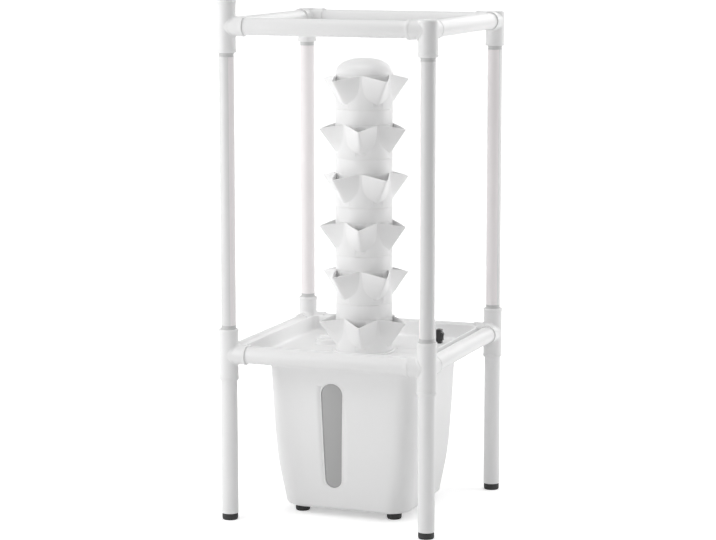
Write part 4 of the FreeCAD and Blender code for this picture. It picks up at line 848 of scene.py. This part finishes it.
class PLANTER_OT_switch(Operator):
    """The black switch box on the deck, its bezel, rocker and power inlet"""
    bl_idname = "planter.switch"
    bl_label = "Switch Box"

    def execute(self, context):
        low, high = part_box("switch_box")
        rocker_low, rocker_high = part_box("rocker")
        face = high.x - 0.003
        x, y, z = (low.x + face) / 2, (low.y + high.y) / 2, (rocker_low.z + rocker_high.z) / 2
        inlet, depth, ring_radius = 0.0028, 0.007, 0.0046
        shell = rounded_block((face - low.x) / 2, (high.y - low.y) / 2, low.z, high.z, 0.002, 0.0012, (x, y))
        box = make_piece("switch_case", [shell], ["switch_box"], "switch_black")
        cut_out(box, [rod(inlet, -depth, 0.002, (x, y, high.z), columns=48)])
        ring = turned(tube(inlet, ring_radius, -0.0006, 0, 0.0002), (x, y, high.z), columns=48, steps=2, closed=True)
        make_piece("inlet_ring", [ring], ["switch_box"], "switch_black", loop=True)
        rows = []
        inner_y, inner_z, root, lip = 0.0051, 0.0086, face - 0.001, high.x - 0.0004
        for wider, at in ((0, root), (0, lip), (0.0004, high.x), (0.0013, high.x), (0.0017, lip), (0.0017, root)):
            ring = rounded_rectangle(inner_y + wider, inner_z + wider, 0.0015, arc=5, side=3)[0]
            rows.append(np.stack([np.full(len(ring), at), y + ring[:, 0], z + ring[:, 1]], -1))
        make_piece("switch_bezel", [np.array(rows)], ["switch_box"], "switch_black", loop=True)
        self.paddle(y, z, face, rocker_high.x)
        return {"FINISHED"}

    @staticmethod
    def paddle(y, z, face, out):
        """The rocker's dished face, which leans in at its foot, and its closed back. With u from -1 to 1 up it, the
        face lies 1.2 (1 - u) + 0.6 (1 - u^2) mm in from its foremost edge, and 0.5 mm more at its rounded edges."""
        up, across = np.meshgrid(np.linspace(-1, 1, 25), np.linspace(-1, 1, 13), indexing="ij")
        half_z, half_y, back_x, tilt = 0.0079, 0.0045, face - 0.003, math.radians(63)
        edge = np.maximum(np.abs(up) ** 8, np.abs(across) ** 8)
        lean = (out - 0.0003) - 0.0012 * (1 - up) - 0.0006 * (1 - up ** 2) - 0.0005 * edge
        front = np.stack([lean, y + half_y * across, z + half_z * np.sin(up * tilt)], -1)
        back = np.stack([np.full(up.shape, back_x), y + half_y * across, z + half_z * 0.9 * up], -1)
        rims = [np.concatenate([grid[0], grid[1:, -1], grid[-1, -2::-1], grid[-2:0:-1, 0]]) for grid in (front, back)]
        make_piece("rocker_paddle", [front, back], ["rocker"], "switch_black", "rocker", open_columns=True)
        make_piece("rocker_sides", [np.array(rims)], ["rocker"], "switch_black", "rocker")


# Tower

SUNK, INNER_SUNK, VALLEY_SUNK = 0.0011, 0.0018, 0.0015
RIM_CLEARANCE = 0.0004
POCKET_ROWS = 30


def star_radius(angle, tip, valley, soft):
    """Radius of a five-ridged star with straight flanks: tip valley sin w / (tip sin a + valley sin (w - a)), where a
    is the angle from the nearest ridge and w half a pocket's turn. The ridge is rounded by soft."""
    half = math.pi / POCKETS
    a = np.abs((angle + half) % (2 * half) - half)
    reach = soft / np.maximum(tip, 1e-6)
    a = np.clip(np.sqrt(a ** 2 + reach ** 2) - reach * 0.4, 0, half)
    return tip * valley * np.sin(half) / (tip * np.sin(a) + valley * np.sin(half - a))


def pocket_ring(sizes, foot, turn, columns=360):
    """The five pockets of a tier as one closed shell, sunk into the column where they leave it. A ridge runs straight
    from the column at the foot through the tip, and the rim falls straight from the column's top to the tip: at the
    radius r it lies at height - (r - column) (height - tip) / (reach - column). The wall is measured across the
    flank, so at the angle a the inside lies wall sqrt(1 + (r' / r)^2 + ridge^2 / 2) further in."""
    angle = np.arange(columns) * TURN / columns
    step = TURN / columns
    column, reach = sizes.column_radius, sizes.pocket_reach
    ridge = (reach - column) / (sizes.pocket_tip - sizes.pocket_foot)
    fall = (TIER_HEIGHT - sizes.pocket_tip) / (reach - column)

    def outer_at(height, turned_by=0):
        tip = column + ridge * (height - sizes.pocket_foot)
        return star_radius(angle[None] + turned_by, tip, column - VALLEY_SUNK, sizes.ridge_round)

    def inner_at(height):
        here = outer_at(height)
        slant = (outer_at(height, step) - outer_at(height, -step)) / (2 * step) / here
        return here - sizes.pocket_wall * np.minimum(np.sqrt(1 + slant ** 2 + ridge ** 2 * 0.5), 1.9)

    rim = np.full((1, columns), TIER_HEIGHT)
    for _ in range(30):
        rim = TIER_HEIGHT - RIM_CLEARANCE - np.maximum(outer_at(rim) - column, 0) * fall
    share = np.linspace(0, 1, POCKET_ROWS)[:, None]
    up = sizes.pocket_foot + (rim - sizes.pocket_foot) * share
    down = up[::-1]
    outside = np.maximum(outer_at(up), column - SUNK)
    inside = np.maximum(inner_at(down), column - INNER_SUNK)
    lip = np.linspace(0, 1, 7)[1:-1, None]
    lip_radius = outside[-1:] * (1 - lip) + inside[:1] * lip
    lip_height = rim + 0.3 * (outside[-1:] - inside[:1]) * np.sin(lip * math.pi)
    radius = np.concatenate([outside, lip_radius, inside])
    height = np.concatenate([up, lip_height, down])
    return np.stack([radius * np.cos(angle + turn), radius * np.sin(angle + turn), foot + height], -1)


class PLANTER_OT_tiers(Operator):
    """The six planter tiers: a length of column each, with five pockets round it and a way in from each pocket"""
    bl_idname = "planter.tiers"
    bl_label = "Planter Tiers"

    def execute(self, context):
        sizes = context.scene.planter_tower
        wall_middle = (sizes.column_radius + sizes.column_bore) / 2
        first = self.ridge_bearing(TIERS[0])
        for index, node in enumerate(TIERS):
            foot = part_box(node)[0].z
            turn = first + (index % 2) * math.pi / POCKETS
            corners = tube(sizes.column_bore, sizes.column_radius, foot, foot + TIER_HEIGHT, 0.0008)
            column = make_piece(f"column_{index + 1}", [turned(corners, columns=160, steps=3, closed=True)], [node],
                                "tower_white", loop=True)
            way = rounded_block(0.006, sizes.root_way_width / 2, foot + sizes.root_way_low,
                                foot + sizes.root_way_high, 0.0005, 0.002, (wall_middle, 0))
            spins = (Matrix.Rotation(turn + pocket * TURN / POCKETS, 3, "Z") for pocket in range(POCKETS))
            cut_out(column, [way @ np.array(spin).T for spin in spins])
            make_piece(f"pockets_{index + 1}", [pocket_ring(sizes, foot, turn)], [node], "tower_white", loop=True,
                       sharp=50)
        return {"FINISHED"}

    @staticmethod
    def ridge_bearing(node):
        """The bearing of one ridge tip, from the tier's farthest point."""
        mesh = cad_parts[node].data
        points = np.empty(len(mesh.vertices) * 3, np.float32)
        mesh.vertices.foreach_get("co", points)
        points = points.reshape(-1, 3)
        far = points[np.argmax(np.hypot(points[:, 0], points[:, 1]))]
        return math.atan2(far[1], far[0])


class PLANTER_OT_column(Operator):
    """The tower's base, the sleeves between its tiers, the dome cap, the riser and the distributor"""
    bl_idname = "planter.column"
    bl_label = "Column and Cap"

    def execute(self, context):
        sizes = context.scene.planter_tower
        low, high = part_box("tower_base")
        flange, foot = (high.x - low.x) / 2, TIER_FOOT
        spigot, inner = sizes.spigot, sizes.spigot - sizes.spigot_wall
        collar, bore = 0.0360, 0.032
        corners = [(bore, low.z, 0.0004), (collar, low.z, 0.001), (collar, TRAY_TOP, 0.0003),
                   (flange, TRAY_TOP, 0.0003), (flange, foot - 0.0012, 0.0008), (flange - 0.0015, foot, 0.0008),
                   (spigot, foot, 0.0003), (spigot, high.z, 0.001), (inner, high.z, 0.0006), (inner, foot, 0.001),
                   (bore, foot, 0.0004)]
        make_piece("base_collar", [turned(corners, columns=144, closed=True)], ["tower_base"], "tower_white", loop=True)

        outer, reach = sizes.column_radius, sizes.spigot_reach
        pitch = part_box(TIERS[1])[0].z - TIER_FOOT
        grids = []
        for tier in TIERS[:-1]:
            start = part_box(tier)[0].z
            foot, top = start + TIER_HEIGHT, start + pitch
            corners = [(inner, foot - reach, 0.0003), (spigot, foot - reach, 0.001), (spigot, foot, 0.0003),
                       (outer, foot, 0.0008), (outer, top, 0.0008), (spigot, top, 0.0003),
                       (spigot, top + reach, 0.001), (inner, top + reach, 0.0003)]
            grids.append(turned(corners, columns=160, steps=3, closed=True))
        make_piece("sleeves", grids, ["neck_sleeves"], "tower_white", loop=True)
        self.cap(sizes, spigot, inner)
        dress(["riser_pipe", "distributor"], "tower_white")
        return {"FINISHED"}

    @staticmethod
    def cap(sizes, spigot, inner):
        """The dome, as wide as the column, with a spigot inside it: height times (1 - (radius share)^2.3)^(1/2.1)."""
        low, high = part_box("dome_cap")
        seat, edge = low.z + 0.015, 0.0008
        radius, wall, tall = (high.x - low.x) / 2, sizes.cap_wall, high.z - seat
        share = np.sin(np.linspace(0, math.pi / 2, 32))

        def arch(share, radius, foot, height):
            return np.stack([radius * share, foot + height * (1 - share ** 2.3) ** (1 / 2.1)], -1)

        rim = [(radius, seat + edge), (radius - edge, seat), (spigot, seat), (spigot, low.z + edge),
               (spigot - edge, low.z), (inner, low.z), (inner, seat + 0.008)]
        under = share[::-1][share[::-1] * (radius - wall) < inner]
        profile = np.concatenate([arch(share, radius, seat + 0.002, tall - 0.002), rim,
                                  arch(under, radius - wall, seat, tall - wall)])
        make_piece("dome", [lathe(profile, columns=160)], ["dome_cap"], "tower_white", "cap")


class PLANTER_OT_pump(Operator):
    """The pump in the tank, on its suction cups"""
    bl_idname = "planter.pump"
    bl_label = "Pump"

    def execute(self, context):
        dress(["pump_body", "pump_strainer", "pump_impeller", "pump_cups"], "foot_black")
        return {"FINISHED"}


# Stage

CAMERA_PLACE = (1.9608, -5.1974, 1.4405)
CAMERA_YAW = math.radians(20.67)
CAMERA_PITCH = math.radians(8.81)
FOCAL_PIXELS = 2324.0
PHOTO_WIDTH = 716
PRINCIPAL_X = 364.1
FLOOR_REACH = 60
FLOOR_GLOW = {"From Min": 0.5, "From Max": 1.6, "To Min": 0.42, "To Max": 1.0}
AMBIENT = 0.22
AIM = Vector((0, 0, 0.6))
# Each light's place, size and power
LIGHTS = {
    "key": ((-1.225, -1.495, 1.118), 1.4, 16),
    "left_side": ((-4.25, -0.42, 2.239), 2.4, 54),
    "front_right": ((2.15, -2.996, 3.281), 2.2, 14),
    "top": ((0.138, -0.367, 5.183), 2.2, 75),
    "right_side": ((1.695, 1.005, 1.047), 1.4, 14),
    "back": ((0.686, 4.174, 2.239), 2.2, 37),
}


def shown_share(tree):
    """1 for rays that come from the camera, a reflection or a transmission, and 0 for light that is scattered."""
    path = add_node(tree, "LightPath").outputs
    shown = calculate(tree, "MAXIMUM", path["Is Camera Ray"], path["Is Glossy Ray"])
    return calculate(tree, "MAXIMUM", shown, path["Is Transmission Ray"])


def pale_floor():
    """White floor, plain to the camera and in reflections. It keeps the object's shadow near the middle and glows
    more with the distance from it, so that it ends as white as the backdrop."""
    material = bpy.data.materials.new("Studio floor")
    material.use_nodes = True
    tree = material.node_tree
    away = add_node(tree, "VectorMath", {0: object_place(tree)}, operation="LENGTH").outputs["Value"]
    glow = add_node(tree, "MapRange", {"Value": away, **FLOOR_GLOW}, interpolation_type="SMOOTHSTEP")
    feed(tree, tree.nodes["Principled BSDF"], {
        "Base Color": (0.9, 0.9, 0.9, 1), "Roughness": 0.8, "Emission Color": (1, 1, 1, 1),
        "Emission Strength": calculate(tree, "MULTIPLY", shown_share(tree), glow.outputs["Result"])})
    return material


class PLANTER_OT_stage(Operator):
    """The pale floor, the soft lights and the camera"""
    bl_idname = "planter.stage"
    bl_label = "Stage"

    def execute(self, context):
        scene = context.scene
        mesh = bpy.data.meshes.new("studio_floor")
        corners = [(sign_x * FLOOR_REACH, sign_y * FLOOR_REACH, 0) for sign_x, sign_y in SIDES.values()]
        mesh.from_pydata(corners, [], [(0, 1, 2, 3)])
        mesh.materials.append(pale_floor())
        floor = bpy.data.objects.new("studio_floor", mesh)
        scene.collection.objects.link(floor)

        scene.world = bpy.data.worlds.new("Studio")
        scene.world.use_nodes = True
        tree = scene.world.node_tree
        shown = calculate(tree, "MULTIPLY", shown_share(tree), 1 - AMBIENT)
        feed(tree, tree.nodes["Background"], {"Color": (1, 1, 1, 1),
                                              "Strength": calculate(tree, "ADD", shown, AMBIENT)})

        for name, (place, size, power) in LIGHTS.items():
            data = bpy.data.lights.new(name, "AREA")
            data.size, data.energy = size, power
            light = bpy.data.objects.new(name, data)
            light.location = place
            light.rotation_euler = (AIM - Vector(place)).to_track_quat("-Z", "Y").to_euler()
            scene.collection.objects.link(light)

        lens = bpy.data.cameras.new("photo_camera")
        lens.sensor_width = 36
        lens.lens = FOCAL_PIXELS * lens.sensor_width / PHOTO_WIDTH
        lens.shift_x = (PHOTO_WIDTH / 2 - PRINCIPAL_X) / PHOTO_WIDTH
        lens.clip_end = 200
        camera = bpy.data.objects.new("photo_camera", lens)
        camera.location = CAMERA_PLACE
        camera.rotation_euler = (math.pi / 2 - CAMERA_PITCH, 0, CAMERA_YAW)
        scene.collection.objects.link(camera)
        scene.camera = camera
        scene.view_settings.view_transform = "Standard"
        return {"FINISHED"}


SETTINGS = {
    "planter_frame": PlanterFrameSizes,
    "planter_tank": PlanterTankSizes,
    "planter_tower": PlanterTowerSizes,
    "planter_colours": PlanterColours,
}
OPERATORS = [PLANTER_OT_fittings, PLANTER_OT_pipes, PLANTER_OT_lamps, PLANTER_OT_tank, PLANTER_OT_tray,
             PLANTER_OT_switch, PLANTER_OT_tiers, PLANTER_OT_column, PLANTER_OT_pump, PLANTER_OT_stage]


class PLANTER_PT_panel(Panel):
    """The planter tower's sizes, colours and pieces"""
    bl_label = "Planter Tower"
    bl_idname = "PLANTER_PT_panel"
    bl_space_type = "VIEW_3D"
    bl_region_type = "UI"
    bl_category = "Planter"

    def draw(self, context):
        for name, group in SETTINGS.items():
            box = self.layout.box()
            for field in group.__annotations__:
                box.prop(getattr(context.scene, name), field)
        for operator in OPERATORS:
            self.layout.operator(operator.bl_idname)


CLASSES = [*SETTINGS.values(), *OPERATORS, PLANTER_PT_panel]


def register():
    for item in CLASSES:
        bpy.utils.register_class(item)
    for name, group in SETTINGS.items():
        setattr(bpy.types.Scene, name, PointerProperty(type=group))


def unregister():
    for name in SETTINGS:
        delattr(bpy.types.Scene, name)
    for item in reversed(CLASSES):
        bpy.utils.unregister_class(item)


def main():
    register()
    for operator in OPERATORS:
        group, name = operator.bl_idname.split(".")
        getattr(getattr(bpy.ops, group), name)()


if __name__ == "__main__":
    main()
